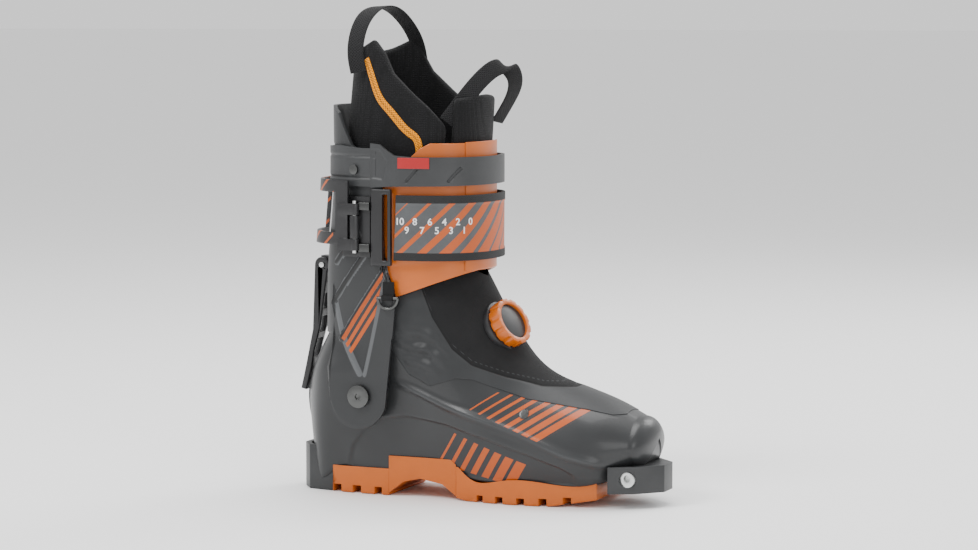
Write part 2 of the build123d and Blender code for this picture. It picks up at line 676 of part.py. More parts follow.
# ---- small parts on the cuff ---------------------------------------------------------
def along_x(radius, length):
    """A cylinder along the leash ring's bar."""
    return Pos(RING_X, RING_Y, RING_Z) * (Rot(0, 90, 0) * Cylinder(radius, length))


def ring_tab():
    """The small tab on the cuff whose lower end wraps the ring's bar."""
    flat = Pos(RING_X, RING_Y + 1.6, RING_Z + 6) * Box(TAB_WIDTH, 1.4, 12)
    return flat + along_x(RING_WIRE + 0.9, TAB_WIDTH) - along_x(RING_WIRE + 0.1, 2 * TAB_WIDTH)


def leash_ring():
    """The D-shaped ring that hangs from the tab by its straight bar."""
    bow = Pos(RING_X, RING_Y, RING_Z) * (Rot(90, 0, 0) * Torus(RING_RADIUS, RING_WIRE))
    bow -= Pos(RING_X, RING_Y, RING_Z + 20) * Box(40, 10, 40)
    return bow + along_x(RING_WIRE, 2 * RING_RADIUS + RING_WIRE)


def cuff_rivets():
    """The round rivets on both sides of the cuff, where the straps are fixed."""
    rivets = []
    for x, z, side in ((30, 244, 1), (30, 204, 1), (30, 188, 1), (14, 246, -1), (14, 244, 1)):
        rod = side_disc(CUFF_RIVET_RADIUS, *sorted((side * 30.0, side * 80.0)), x, z)
        head = rod & (leg_solid(SEAT + 3.2 + CUFF_RIVET_HEIGHT) - leg_solid(SEAT + 3.2))
        rivets.append(largest(head))
    return Part() + rivets


def main():
    """Builds every piece and writes it."""
    os.makedirs("parts", exist_ok=True)
    write("lower_shell", lower_shell())
    wall = gaiter_wall()
    split = wedge(-60, FOOT_END)
    write("gaiter_instep", largest(wall & split))
    write("gaiter_ankle", largest(wall - split))
    write("toe_ledge", toe_ledge())
    write("toe_fitting_outer", toe_fitting(-1))
    write("toe_fitting_inner", toe_fitting(1))
    write("sole_heel", sole_heel())
    write("sole_arch", sole_arch())
    write("sole_forefoot", sole_forefoot())
    write("heel_block", heel_block())
    write("heel_fitting", heel_fitting())
    write("heel_screw", heel_screw())
    write("pivot_bolt_outer", pivot_bolt(-1))
    write("pivot_bolt_inner", pivot_bolt(1))
    write("pivot_bush_outer", pivot_boss(-1))
    write("pivot_bush_inner", pivot_boss(1))
    write("toe_rivet_outer", shell_rivet(146.0, 68.0, -1))
    write("toe_rivet_inner", shell_rivet(146.0, 68.0, 1))
    write("heel_catch", heel_catch())
    write("footbed", footbed())
    write("liner_foot", liner_foot())
    write("liner_shaft", liner_shaft())
    write("liner_tongue", liner_tongue())
    write("cuff_shell", cuff_shell())
    write("tongue_plate", tongue_plate())
    write("upper_strap", strap_band(UPPER_STRAP_LOW, UPPER_STRAP_HIGH, UPPER_STRAP_WALL, COLLAR_END + SEAT))
    write("cuff_collar", cuff_collar())
    write("wide_strap", strap_band(WIDE_STRAP_LOW, WIDE_STRAP_HIGH, WIDE_STRAP_WALL, FRAME_FRONT + 2 * SEAT))
    write("strap_frame", strap_frame())
    write("buckle_base", buckle_base())
    write("buckle_pin", buckle_pin())
    write("buckle_lever", buckle_lever())
    write("buckle_hooks", buckle_hooks())
    write("lever_lug", lever_lug())
    write("lever_pin", lever_pin())
    write("walk_lever", walk_lever())
    write("dial_base", dial_base())
    write("dial_knob", dial_knob())
    write("dial_face", dial_face())
    write("ring_tab", ring_tab())
    write("leash_ring", leash_ring())
    write("cuff_rivets", cuff_rivets())
    write("heel_loop", pull_loop(17.0, LINER_TOP_BACK + 0.5, 72, 28, 77))
    write("tongue_loop", pull_loop(95.0, LINER_TOP_FRONT + 1.4, 52, 30, 90, 30))


main()
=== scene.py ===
"""Ski touring boot: skins, padding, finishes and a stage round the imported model.

The boot is laid out in millimetres, with the toe along +X, the inner side of the foot along +Y
and +Z up, and every mesh is written in metres.
"""

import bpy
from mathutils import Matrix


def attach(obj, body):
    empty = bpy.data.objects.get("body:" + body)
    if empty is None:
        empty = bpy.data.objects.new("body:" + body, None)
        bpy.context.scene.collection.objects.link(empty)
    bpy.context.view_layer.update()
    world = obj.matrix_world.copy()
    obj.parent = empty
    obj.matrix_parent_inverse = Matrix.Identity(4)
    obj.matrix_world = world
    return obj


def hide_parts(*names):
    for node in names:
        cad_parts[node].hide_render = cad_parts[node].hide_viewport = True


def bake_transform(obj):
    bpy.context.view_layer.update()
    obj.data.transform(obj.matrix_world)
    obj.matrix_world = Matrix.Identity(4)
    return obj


bl_info = {
    "name": "Ski touring boot",
    "version": (1, 0, 0),
    "blender": (4, 5, 0),
    "location": "View3D > Sidebar > Boot",
    "description": "Builds the skins, padding, straps and finishes of a ski touring boot",
    "category": "Add Mesh",
}

import math

import bmesh
import bpy
import numpy as np
from mathutils import Matrix, Vector

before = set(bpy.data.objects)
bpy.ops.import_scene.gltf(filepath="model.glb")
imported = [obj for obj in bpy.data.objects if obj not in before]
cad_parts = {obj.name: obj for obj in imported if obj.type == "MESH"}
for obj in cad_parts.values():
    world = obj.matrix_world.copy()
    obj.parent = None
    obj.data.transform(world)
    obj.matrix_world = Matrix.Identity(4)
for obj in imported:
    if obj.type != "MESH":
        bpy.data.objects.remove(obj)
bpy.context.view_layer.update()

MM = 0.001
PIVOT = (17.0, 76.0)  # the cuff's axis, in the side view
HEEL_RADIUS = 58.5  # top of the shell's back, about the cuff's axis
ANKLE_RADIUS = 122.0  # top of the gaiter, about the cuff's axis
HEEL_DOME = 3.6  # how far the foot's rounded ends stand past its end stations
TOE_DOME = 12.0
CORE_SPLIT = 112.0  # the boot's middle line is upright above this height and level below it
CORE_X = 42.0
CORE_Z = 45.0
GIRTH = 363.0  # way round the leg, for turning a short run into a share of a turn

# Foot stations: x, centre line, half widths at the sole, widest level and shoulder, and the
# heights of those three levels and of the top.
FOOT = np.array([
    (-41.0, 0.0, 8.0, 15.0, 9.0, 46.0, 68.0, 88.0, 96.0),
    (-34.0, 0.0, 20.0, 26.0, 17.0, 20.0, 62.0, 98.0, 108.0),
    (-14.0, 0.0, 30.0, 37.0, 32.0, 15.0, 62.0, 122.0, 140.0),
    (20.0, 0.0, 33.0, 40.5, 37.5, 15.0, 88.0, 176.0, 220.0),
    (60.0, 0.0, 34.0, 41.0, 36.5, 21.0, 84.0, 176.0, 218.0),
    (95.0, 0.5, 37.0, 46.0, 31.0, 17.0, 54.0, 140.0, 174.0),
    (130.0, 1.5, 42.0, 51.0, 31.0, 15.0, 42.0, 92.0, 112.0),
    (165.0, 3.0, 41.0, 51.0, 33.0, 15.0, 40.0, 74.0, 87.0),
    (200.0, 5.0, 34.0, 45.0, 31.0, 17.0, 40.0, 64.0, 74.0),
    (222.0, 5.0, 18.0, 32.0, 21.0, 27.0, 44.0, 58.0, 64.0),
])
# Side view of the gaiter's lower edge, and of the seam between its film and its black cloth.
GAITER_LINE = np.array([(30, 126), (44, 108), (54, 94), (72, 86), (94, 93), (106, 92), (122, 86), (145, 78),
                        (189, 71), (206, 67), (240, 66)])
SEAM_LINE = np.array([(50, 190), (63, 159), (73, 137), (89, 114), (104, 102), (127, 93), (151, 86), (173, 84),
                      (180, 95), (240, 95)])

# Leg stations: height, back, front and half width, for the cuff's outside and for the liner.
CUFF = np.array([
    (84, -26, 102, 50), (128, -26, 105, 51), (170, -25, 105, 52),
    (228, -20, 105, 52), (285, -19.5, 105, 52), (345, -19, 105, 52),
], dtype=float)
LINER = np.array([
    (100, -17, 90, 32), (135, -15, 91, 32), (168, -14, 92, 32.5), (205, -12, 96, 40),
    (240, -11, 98, 43), (290, -7, 101, 43), (345, -2, 104, 41),
], dtype=float)


# ---- surfaces -------------------------------------------------------------------------
def weights(knots, at):
    """Share of each knot's value at the given places of a natural cubic spline.

    Between two knots the value is a straight blend plus the cubes of both shares, less the
    shares, times the bends that make the slopes meet. The bend is none at both ends.
    """
    knots = np.asarray(knots, dtype=float)
    step = np.diff(knots)
    size = len(knots)
    inner = np.arange(1, size - 1)
    system = np.eye(size)
    system[inner, inner - 1] = step[:-1]
    system[inner, inner] = 2 * (step[:-1] + step[1:])
    system[inner, inner + 1] = step[1:]
    right = np.zeros((size, size))
    right[1:-1] = 6 * np.diff(np.diff(np.eye(size), axis=0) / step[:, None], axis=0)
    bend = np.linalg.solve(system, right)
    unit = np.eye(size)
    place = np.clip(np.searchsorted(knots, at) - 1, 0, size - 2)
    gap = step[place][..., None]
    late = (at - knots[place])[..., None] / gap
    early = 1 - late
    curve = (early**3 - early) * bend[place] + (late**3 - late) * bend[place + 1]
    return early * unit[place] + late * unit[place + 1] + curve * gap**2 / 6


def station_outlines():
    """The outline of every foot station: a spline through its seven points by distance."""
    outlines = []
    for _, centre, sole, wide, shoulder, low, mid, high, top in FOOT:
        half = [(sole, low), (wide, mid), (shoulder, high)]
        points = np.array([*half, (0, top), *[(-y, z) for y, z in reversed(half)]])
        run = np.append(0, np.cumsum(np.linalg.norm(np.diff(points, axis=0), axis=1)))
        outlines.append(weights(run / run[-1], OUTLINE_AT) @ points + (centre, 0))
    return np.array(outlines)


OUTLINE_AT = np.linspace(0, 1, 65)
OUTLINES = station_outlines()


def foot(x, turn):
    """The foot: station outlines blended along x by a spline, turn going from the inner edge of
    the sole over the top to the outer edge. Past the ends the outline shrinks as a quarter circle."""
    x, turn = np.broadcast_arrays(x, turn)
    inside = np.clip(x, FOOT[0, 0], FOOT[-1, 0])
    along = weights(FOOT[:, 0], inside)
    section = np.einsum("...s,stc->...tc", along, OUTLINES)
    across = weights(OUTLINE_AT, turn)
    outline = np.einsum("...t,...tc->...c", across, section)
    middle = section.mean(axis=-2)
    reach = np.where(x > inside, TOE_DOME, HEEL_DOME)
    size = np.sqrt(np.clip(1 - ((x - inside) / reach) ** 2, 0, 1))[..., None]
    outline = middle + (outline - middle) * size
    return np.concatenate((x[..., None], outline), axis=-1)


def turn_at(x, height, side):
    """How far round each outline the foot first reaches a height, on the inner (1) or outer (-1)
    side: the outline is sampled, and the place between the two nearest samples is shared out."""
    share = np.linspace(0, 0.5, 200)
    turn = share if side > 0 else 1 - share
    level = foot(x[:, None], turn[None, :])[..., 2]
    above = level >= height[:, None]
    after = np.where(above.any(axis=1), above.argmax(axis=1), len(share) - 1)
    before = np.maximum(after - 1, 0)
    row = np.arange(len(x))
    rise = level[row, after] - level[row, before]
    part = np.clip((height - level[row, before]) / np.where(rise == 0, 1, rise), 0, 1)
    return turn[before] + (turn[after] - turn[before]) * part


OVAL = np.array([(1, 0), (0.8, 0.736), (0, 1), (-0.8, 0.736), (-1, 0), (-0.8, -0.736), (0, -1),
                 (0.8, -0.736)])
OVAL_AT = np.array([0, 0.107, 0.25, 0.393, 0.5, 0.607, 0.75, 0.893])


def leg(stations, turn, z, grow=0.0):
    """The leg: an oval at every height, turn going from the front (0) by the inner side (a
    quarter) and the back (a half) to the outer side. Its half axes are splines of the height."""
    turn, z = np.broadcast_arrays(turn, z)
    size = weights(stations[:, 0], z) @ stations[:, 1:]
    middle = (size[..., 0] + size[..., 1]) / 2
    long_half = (size[..., 1] - size[..., 0]) / 2 + grow
    knots = np.concatenate((OVAL_AT - 1, OVAL_AT, OVAL_AT + 1, [2.0]))
    ring = weights(knots, turn)
    ring = ring[..., :8] + ring[..., 8:16] + ring[..., 16:24]
    oval = ring @ OVAL
    return np.stack((middle + long_half * oval[..., 0], (size[..., 2] + grow) * oval[..., 1], z), axis=-1)


def core_of(points):
    """The nearest point of the boot's middle line: upright in the leg, level in the foot."""
    high = points[..., 2] > CORE_SPLIT
    x = np.where(high, CORE_X, points[..., 0])
    z = np.where(high, points[..., 2], CORE_Z)
    return np.stack((x, np.zeros_like(x), z), axis=-1)


def normals(points, core=None):
    """Unit normals of a grid: the cross product of its two slopes, turned away from the core."""
    across = np.cross(np.gradient(points, axis=0), np.gradient(points, axis=1))
    across = across / (np.linalg.norm(across, axis=-1, keepdims=True) + 1e-9)
    core = core_of(points) if core is None else core
    return across * np.sign(np.sum(across * (points - core)))


def push(points, amount, core=None):
    """Moves a grid along its normals by an amount in millimetres."""
    amount = np.asarray(amount, dtype=float)
    return points + normals(points, core) * (amount[..., None] if amount.ndim else amount)


def bump(value, middle, width):
    """A round hill: one at the middle, falling off as a bell of the given width."""
    return np.exp(-(((value - middle) / width) ** 2))


def step(value, start, end):
    """Zero before start, one after end, with an even S between them."""
    share = np.clip((value - start) / (end - start), 0, 1)
    return share * share * (3 - 2 * share)


def segment_gap(x, z, start, end):
    """Distance in the side view from each point to a straight run."""
    run = np.subtract(end, start)
    share = np.clip(((x - start[0]) * run[0] + (z - start[1]) * run[1]) / (run @ run), 0, 1)
    return np.hypot(x - start[0] - share * run[0], z - start[1] - share * run[1])


def line_gap(x, z, line):
    """Distance in the side view from each point to the nearest run of a line."""
    gaps = [segment_gap(x, z, start, end) for start, end in zip(line[:-1], line[1:])]
    return np.min(gaps, axis=0)


# ---- meshes ---------------------------------------------------------------------------
def skin(name, points, core=None, closed=False):
    """A mesh of four-sided faces from a grid of points in millimetres, facing away from the core.
    A closed one joins its last column to its first. Its UV map holds the mean distance along both
    ways of the grid, in metres."""
    index = np.arange(points.shape[0] * points.shape[1]).reshape(points.shape[:2])
    grid = points
    if closed:
        index = np.concatenate((index, index[:, :1]), 1)
        grid = np.concatenate((grid, grid[:, :1]), 1)
    rows, columns = np.indices(index.shape)
    runs = []
    for axis in (0, 1):
        gaps = np.linalg.norm(np.diff(grid, axis=axis), axis=2).mean(axis=1 - axis)
        runs.append(np.append(0, np.cumsum(gaps)) * MM)
    place = np.stack((runs[0][rows], runs[1][columns]), axis=-1)
    corners = [(slice(None, -1), slice(None, -1)), (slice(1, None), slice(None, -1)),
               (slice(1, None), slice(1, None)), (slice(None, -1), slice(1, None))]
    faces = np.stack([index[corner] for corner in corners], axis=-1).reshape(-1, 4)
    uvs = np.stack([place[corner] for corner in corners], axis=-2).reshape(-1, 4, 2)
    across = np.cross(np.gradient(points, axis=0), np.gradient(points, axis=1))
    core = core_of(points) if core is None else core
    if np.sum(across * (points - core)) < 0:
        faces = faces[:, ::-1]
        uvs = uvs[:, ::-1]
    mesh = bpy.data.meshes.new(name)
    mesh.from_pydata((points.reshape(-1, 3) * MM).tolist(), [], faces.tolist())
    layer = mesh.uv_layers.new(name="UVMap")
    layer.data.foreach_set("uv", uvs.reshape(-1))
    mesh.shade_smooth()
    piece = bpy.data.objects.new(name, mesh)
    bpy.context.scene.collection.objects.link(piece)
    return piece


def mark(piece, name, values):
    """Stores one number for every point of a piece, for its material to read."""
    layer = piece.data.attributes.new(name, "FLOAT", "POINT")
    layer.data.foreach_set("value", np.asarray(values, dtype=float).reshape(-1))


def weld(piece, distance):
    """Makes one point of those that lie within a distance in millimetres."""
    shape = bmesh.new()
    shape.from_mesh(piece.data)
    bmesh.ops.remove_doubles(shape, verts=shape.verts, dist=distance * MM)
    shape.to_mesh(piece.data)
    shape.free()
    piece.data.shade_smooth()


def join(name, pieces):
    """Makes several pieces one."""
    with bpy.context.temp_override(active_object=pieces[0], selected_editable_objects=pieces):
        bpy.ops.object.join()
    pieces[0].name = name
    return pieces[0]


def bevel(piece, width, angle):
    """Rounds the edges of a piece that turn by more than an angle in degrees."""
    edge = piece.modifiers.new("edge", "BEVEL")
    edge.width = width * MM
    edge.segments = 2
    edge.limit_method = "ANGLE"
    edge.angle_limit = math.radians(angle)


def wall(piece, thickness, round_edge=0.0):
    """Gives a skin a wall inwards, in millimetres, and rounds its open edges."""
    solid = piece.modifiers.new("wall", "SOLIDIFY")
    solid.thickness = thickness * MM
    solid.offset = -1
    if round_edge:
        bevel(piece, round_edge, 50)


def dress(piece, material, nodes=()):
    """Gives a finished piece its finish and hides the nodes it stands for."""
    piece.data.materials.clear()
    piece.data.materials.append(material)
    if nodes:
        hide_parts(*nodes)


def ride(piece, body, material, nodes=()):
    """Dresses a finished piece and ties it to its body."""
    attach(piece, body)
    dress(piece, material, nodes)


def tube(name, path, radius, sides):
    """A round thread along a path: a circle in the plane across the path at each of its points."""
    slope = np.gradient(path, axis=0)
    slope /= np.linalg.norm(slope, axis=1, keepdims=True)
    up = np.cross(slope, (0.31, 0.93, 0.17))
    up /= np.linalg.norm(up, axis=1, keepdims=True)
    side = np.cross(slope, up)
    angle = np.linspace(0, 2 * math.pi, sides, endpoint=False)[None, :, None]
    points = path[:, None] + radius * (np.cos(angle) * up[:, None] + np.sin(angle) * side[:, None])
    core = np.broadcast_to(path[:, None], points.shape)
    return skin(name, points, core, True)


def soften(node, ending, body, slot, material, width):
    """Puts a welded copy of a CAD node in its place, with its edges rounded by a width."""
    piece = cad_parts[node].copy()
    piece.data = piece.data.copy()
    piece.parent = None
    bpy.context.scene.collection.objects.link(piece)
    piece.name = f"{node}_{ending}"
    weld(piece, 0.005)
    bevel(piece, width, 32)
    ride(piece, body, material, [node])


# ---- finishes -------------------------------------------------------------------------
class Value:
    """A number socket whose arithmetic adds Math nodes to its material."""

    def __init__(self, paint, socket):
        self.paint = paint
        self.socket = socket

    def math(self, operation, *others, clamp=False):
        """One Math node of an operation on this value and the others."""
        settings = {"operation": operation, "use_clamp": clamp}
        return self.paint.node("ShaderNodeMath", settings, dict(enumerate((self, *others))))

    def __add__(self, other):
        return self.math("ADD", other)

    __radd__ = __add__

    def __sub__(self, other):
        return self.math("SUBTRACT", other)

    def __rsub__(self, other):
        return (self * -1).math("ADD", other)

    def __mul__(self, other):
        return self.math("MULTIPLY", other)

    __rmul__ = __mul__

    def __truediv__(self, other):
        return self.math("DIVIDE", other)

    def __lt__(self, other):
        return self.math("LESS_THAN", other)

    def rise(self, start, end):
        """Zero before start, one after end, and straight between them."""
        return ((self - start) / (end - start)).math("ADD", 0.0, clamp=True)

    def within(self, low, high, soft):
        """One between low and high, with soft edges."""
        return self.rise(low - soft, low + soft) * (1 - self.rise(high - soft, high + soft))


class Paint:
    """One material, built node by node round a Principled shader."""

    def __init__(self, name):
        self.material = bpy.data.materials.new(name)
        self.material.use_nodes = True
        self.tree = self.material.node_tree
        self.shader = self.tree.nodes["Principled BSDF"]

    def node(self, kind, settings=None, inputs=None, output=0):
        """Adds a node: its type, its settings, then the values or links of its sockets."""
        node = self.tree.nodes.new(kind)
        for name, setting in (settings or {}).items():
            setattr(node, name, setting)
        for socket, value in (inputs or {}).items():
            self.feed(node.inputs[socket], value)
        return Value(self, node.outputs[output])

    def feed(self, socket, value):
        """Links a value to a socket, or sets the socket to a plain number or colour."""
        if isinstance(value, Value):
            self.tree.links.new(value.socket, socket)
        else:
            socket.default_value = value

    def place(self, stretch=(1, 1, 1)):
        """Object coordinates in millimetres, with each way stretched."""
        coords = self.node("ShaderNodeTexCoord", output=3)
        scale = [share / MM for share in stretch]
        return self.node("ShaderNodeVectorMath", {"operation": "MULTIPLY"}, {0: coords, 1: scale})

    def weave_place(self):
        """The piece's UV map in millimetres."""
        coords = self.node("ShaderNodeTexCoord", output=2)
        return self.node("ShaderNodeVectorMath", {"operation": "SCALE"}, {0: coords, "Scale": 1 / MM})

    def split(self, vector):
        """The three numbers of a vector."""
        node = self.tree.nodes.new("ShaderNodeSeparateXYZ")
        self.feed(node.inputs[0], vector)
        return [Value(self, socket) for socket in node.outputs]

    def noise(self, size, detail=3.0, vector=None):
        """Soft noise with features of the given size in millimetres, from zero to one."""
        inputs = {"Vector": vector or self.place(), "Scale": 1 / size, "Detail": detail}
        return self.node("ShaderNodeTexNoise", {}, inputs)

    def cells(self, size):
        """Distance to the edges of cells of the given size in millimetres."""
        inputs = {"Vector": self.place(), "Scale": 1 / size, "Randomness": 0.35}
        return self.node("ShaderNodeTexVoronoi", {"feature": "DISTANCE_TO_EDGE"}, inputs)

    def number(self, name):
        """The number stored on the piece's points under a name."""
        return self.node("ShaderNodeAttribute", {"attribute_name": name}, output=2)

    def mix(self, factor, first, second):
        """A colour between two colours."""
        node = self.tree.nodes.new("ShaderNodeMix")
        node.data_type = "RGBA"
        self.feed(node.inputs[0], factor)
        self.feed(node.inputs[6], first)
        self.feed(node.inputs[7], second)
        return Value(self, node.outputs[2])

    def finish(self, colour, roughness, height=None, depth=0.1, metallic=0.0, coat=0.0, sheen=0.0,
               specular=0.5):
        """Sets the shader: colour, roughness and metal, and a bump of a depth in millimetres."""
        self.feed(self.shader.inputs["Base Color"], colour)
        self.feed(self.shader.inputs["Roughness"], roughness)
        self.feed(self.shader.inputs["Metallic"], metallic)
        self.feed(self.shader.inputs["Coat Weight"], coat)
        self.shader.inputs["Sheen Weight"].default_value = sheen
        self.shader.inputs["Sheen Roughness"].default_value = 0.4
        self.shader.inputs["Specular IOR Level"].default_value = specular
        if height is not None:
            inputs = {"Height": height, "Distance": depth * MM, "Strength": 1.0}
            self.feed(self.shader.inputs["Normal"], self.node("ShaderNodeBump", {}, inputs))
        return self.material


def rgba(colour):
    """A colour property with full alpha."""
    return (colour[0], colour[1], colour[2], 1.0)


def shade(colour, share):
    """A colour made lighter or darker by a share."""
    return tuple(min(1.0, channel * share) for channel in colour[:3]) + (1.0,)


def stripes(paint, x, z, lean, pitch, first, widths):
    """Slanted bars that widen one after another: the place across the bars, counted in
    pitches, is compared in each bar with that bar's share of the pitch."""
    across = (x - z * lean - first) / pitch
    place = across.math("FRACT")
    share = across.rise(0, widths[2]) * (widths[1] - widths[0]) + widths[0]
    return place < share


def shell_finish(colours):
    """Satin shell plastic with a fine grain, painted highlights along its crest and the rim of its side
    panel, and printed slanted bars.
    """
    paint = Paint("shell_satin")
    x, y, z = paint.split(paint.place())
    grain = paint.noise(0.5, 4)
    cloud = paint.noise(38, 2)
    base = paint.mix(cloud.rise(0.3, 0.75), shade(colours.shell, 0.86), shade(colours.shell, 1.16))
    # The ridge number is painted highlight: the crest and the rim over the side panel are made lighter than
    # the shell's colour.
    edge = paint.number("ridge")
    base = paint.mix(edge * 0.6, base, shade(colours.shell, 2.6))
    lower = stripes(paint, x, z, 0.7, 10.6, 55, (0.2, 0.85, 7)) * (x - z * 0.7).within(55, 129, 0.1)
    lower = lower * (z + x * 0.203).rise(41.7, 41.9) * (1 - (z + x * 0.339).rise(81.8, 82.0))
    upper = stripes(paint, x, z, 1.5, 11, 0, (0.16, 0.80, 8)) * (x - z * 1.5).within(0, 88, 0.1)
    upper = upper * (z + x * 0.389).rise(111.1, 111.3) * (1 - (z + x * 0.183).rise(105.6, 105.8))
    bars = (lower + upper) * (y < 0)
    base = paint.mix(bars, base, rgba(colours.print))
    rough = grain * 0.12 + cloud * 0.10 + 0.26 - edge * 0.06
    return paint.finish(base, rough, grain * 0.8 + paint.noise(3.0, 2) * 0.5, 0.05, coat=0.10, specular=0.38)


def gaiter_finish(colours):
    """Fine black stretch cloth above the seam, with a row of stitches, and a smooth grey film
    below it, told apart by the height under the seam that is stored on the piece."""
    paint = Paint("gaiter_cloth")
    u, v, _ = paint.split(paint.weave_place())
    thread = (u * (math.pi / 0.5)).math("SINE") * (v * (math.pi / 0.5)).math("SINE")
    x, y, z = paint.split(paint.place())
    below = paint.number("below_seam")
    film = below.rise(-0.2, 0.2)
    cloth = paint.mix(paint.noise(14, 3), shade(colours.cloth, 0.7), shade(colours.cloth, 1.3))
    stitches = below.within(-3.3, -2.7, 0.15) * ((x + z * 0.7) * (math.pi / 1.3)).math("SINE").rise(-0.1, 0.1)
    cloth = paint.mix(stitches * 0.7, cloth, shade(colours.shell, 2.0))
    grey = paint.mix(paint.noise(18, 3), shade(colours.shell, 0.95), shade(colours.shell, 1.45))
    groove = below.within(-0.5, 0.5, 0.3)
    colour = paint.mix(groove, paint.mix(film, cloth, grey), shade(colours.cloth, 0.4))
    rough = 0.82 - film * 0.40 + paint.noise(4, 2) * 0.08
    height = thread * (1 - film) * 0.6 + paint.noise(1.4, 3) * 0.35 + stitches
    return paint.finish(colour, rough, height, 0.10, sheen=0.03, specular=0.3)


def cuff_finish(colours):
    """Satin cuff plastic with painted highlights on its bevels, dark ribs and printed bars on its side panel.
    """
    paint = Paint("cuff_satin")
    x, y, z = paint.split(paint.place())
    grain = paint.noise(0.5, 4)
    cloud = paint.noise(45, 2)
    base = paint.mix(cloud.rise(0.3, 0.75), shade(colours.shell, 0.9), shade(colours.shell, 1.2))
    # Painted highlight: where the pale number rises past zero, the bevels are made much lighter than the
    # shell's colour.
    base = paint.mix(paint.number("pale").rise(-0.3, 0.3) * 0.8, base, shade(colours.shell, 5.0))
    base = paint.mix(paint.number("rib").rise(-0.4, 0.4), base, shade(colours.shell, 0.35))
    bars = stripes(paint, x, z, 0.70, 6.3, -82.5, (0.52, 0.60, 3))
    bars = bars * (x - z * 0.70).within(-82.5, -64, 0.1) * paint.number("panel").rise(-0.3, 0.3)
    base = paint.mix(bars, base, rgba(colours.print))
    rough = grain * 0.12 + cloud * 0.10 + 0.34
    return paint.finish(base, rough, grain * 0.8 + paint.noise(3.0, 2) * 0.5, 0.05, coat=0.08, specular=0.38)


def plastic_finish(name, colour, roughness=0.42, size=0.6, depth=0.05, spread=0.16, coat=0.0):
    """Moulded plastic: a fine grain, and colour that varies a little over the surface."""
    paint = Paint(name)
    grain = paint.noise(size, 4)
    cloud = paint.noise(22, 3)
    base = paint.mix(cloud.rise(0.3, 0.7), shade(colour, 1 - spread), shade(colour, 1 + spread))
    rough = grain * 0.14 + cloud * 0.08 + (roughness - 0.1)
    return paint.finish(base, rough, grain + paint.noise(6.0, 2) * 0.6, depth, coat=coat)


def lever_finish(colours):
    """Black moulded plastic with slanted printed bars on the buckle's loop."""
    paint = Paint("lever_print")
    x, y, z = paint.split(paint.place())
    bars = ((x - z * 1.1) / 17).math("FRACT") < 0.16
    bars = bars * (1 - x.rise(-2.2, -1.8)) * paint.noise(1.5, 2).rise(0.2, 0.4)
    base = paint.mix(paint.noise(20, 3), shade(colours.black, 0.8), shade(colours.black, 1.4))
    base = paint.mix(bars, base, rgba(colours.print))
    return paint.finish(base, paint.noise(0.6, 4) * 0.14 + 0.32, paint.noise(0.6, 4), 0.05)


def rubber_finish(name, colour):
    """Moulded rubber: matt, with a pebble grain, and scuffed where it meets the ground."""
    paint = Paint(name)
    x, y, z = paint.split(paint.place())
    scuff = (1 - z.rise(0.0, 4.0)) * paint.noise(5, 5).rise(0.45, 0.65)
    base = paint.mix(paint.noise(16, 3), shade(colour, 0.86), shade(colour, 1.06))
    base = paint.mix(scuff * 0.35, base, shade(colour, 0.45))
    rough = paint.noise(2.2, 4) * 0.16 + scuff * 0.15 + 0.42
    return paint.finish(base, rough, paint.noise(0.9, 4) + paint.cells(1.8) * 0.5, 0.10)


def metal_finish(name, colour, roughness=0.28, wear_and_highlight=0.3):
    """Turned or pressed metal: fine brushing along one way, with small dull spots."""
    paint = Paint(name)
    brushed = paint.noise(0.35, 3, paint.place((1, 8, 1)))
    spots = paint.noise(4, 4).rise(0.5, 0.75)
    base = paint.mix(spots * wear_and_highlight, shade(colour, 1.0), shade(colour, 0.7))
    return paint.finish(base, brushed * 0.2 + spots * 0.15 + (roughness - 0.08), brushed, 0.02, metallic=1.0)


def webbing_finish(name, colour):
    """Woven tape: diagonal ribs of yarn from the piece's own map, with darker gaps."""
    paint = Paint(name)
    u, v, _ = paint.split(paint.weave_place())
    rib = ((u + v) * (math.pi / 1.1)).math("SINE")
    cross = ((u - v) * (math.pi / 1.1)).math("SINE")
    yarn = rib.math("MAXIMUM", cross)
    base = paint.mix(yarn.rise(-0.4, 0.9), shade(colour, 0.45), shade(colour, 1.5))
    return paint.finish(base, paint.noise(1.5, 3) * 0.1 + 0.72, yarn, 0.22, sheen=0.04, specular=0.25)


def knit_finish(name, colour):
    """Liner fabric: small open cells knitted into a soft face."""
    paint = Paint(name)
    cell = paint.cells(1.7)
    fuzz = paint.noise(0.8, 4)
    base = paint.mix(cell.rise(0.02, 0.3), shade(colour, 0.5), shade(colour, 1.3))
    base = paint.mix(paint.noise(20, 3) * 0.4, base, shade(colour, 0.7))
    height = cell.rise(0.0, 0.35) + fuzz * 0.3
    return paint.finish(base, fuzz * 0.1 + 0.80, height, 0.3, sheen=0.05, specular=0.2)


def strap_finish(colours):
    """The wide strap's print: grey ground, slanted bars that widen to the front, black hems."""
    paint = Paint("wide_strap_print")
    u, v, _ = paint.split(paint.weave_place())
    across = (u - v * 1.05 + 52) / 16
    bars = across.math("FRACT") < ((u - v).rise(-32, 72) * 0.74 + 0.07)
    grain = paint.noise(0.7, 4)
    ground = paint.mix(paint.noise(12, 4), shade(colours.shell, 2.2), shade(colours.shell, 4.2))
    base = paint.mix(bars, ground, rgba(colours.print))
    hem = 1 - v.within(6.0, 43.0, 0.15)
    base = paint.mix(hem, base, shade(colours.cloth, 1.0))
    thread = (u * (math.pi / 0.9)).math("SINE") * (v * (math.pi / 0.9)).math("SINE")
    rough = hem * 0.3 + grain * 0.12 + 0.42
    return paint.finish(base, rough, thread * (hem * 0.8 + 0.2) + grain * 0.4, 0.10)


# ---- settings -------------------------------------------------------------------------
def colour_setting(name, description, value):
    """A colour property for the panel."""
    return bpy.props.FloatVectorProperty(
        name=name, description=description, subtype="COLOR", size=3, min=0, max=1, default=value)


def length_setting(name, description, value):
    """A length property for the panel."""
    return bpy.props.FloatProperty(
        name=name, description=description, subtype="DISTANCE", unit="LENGTH", default=value)


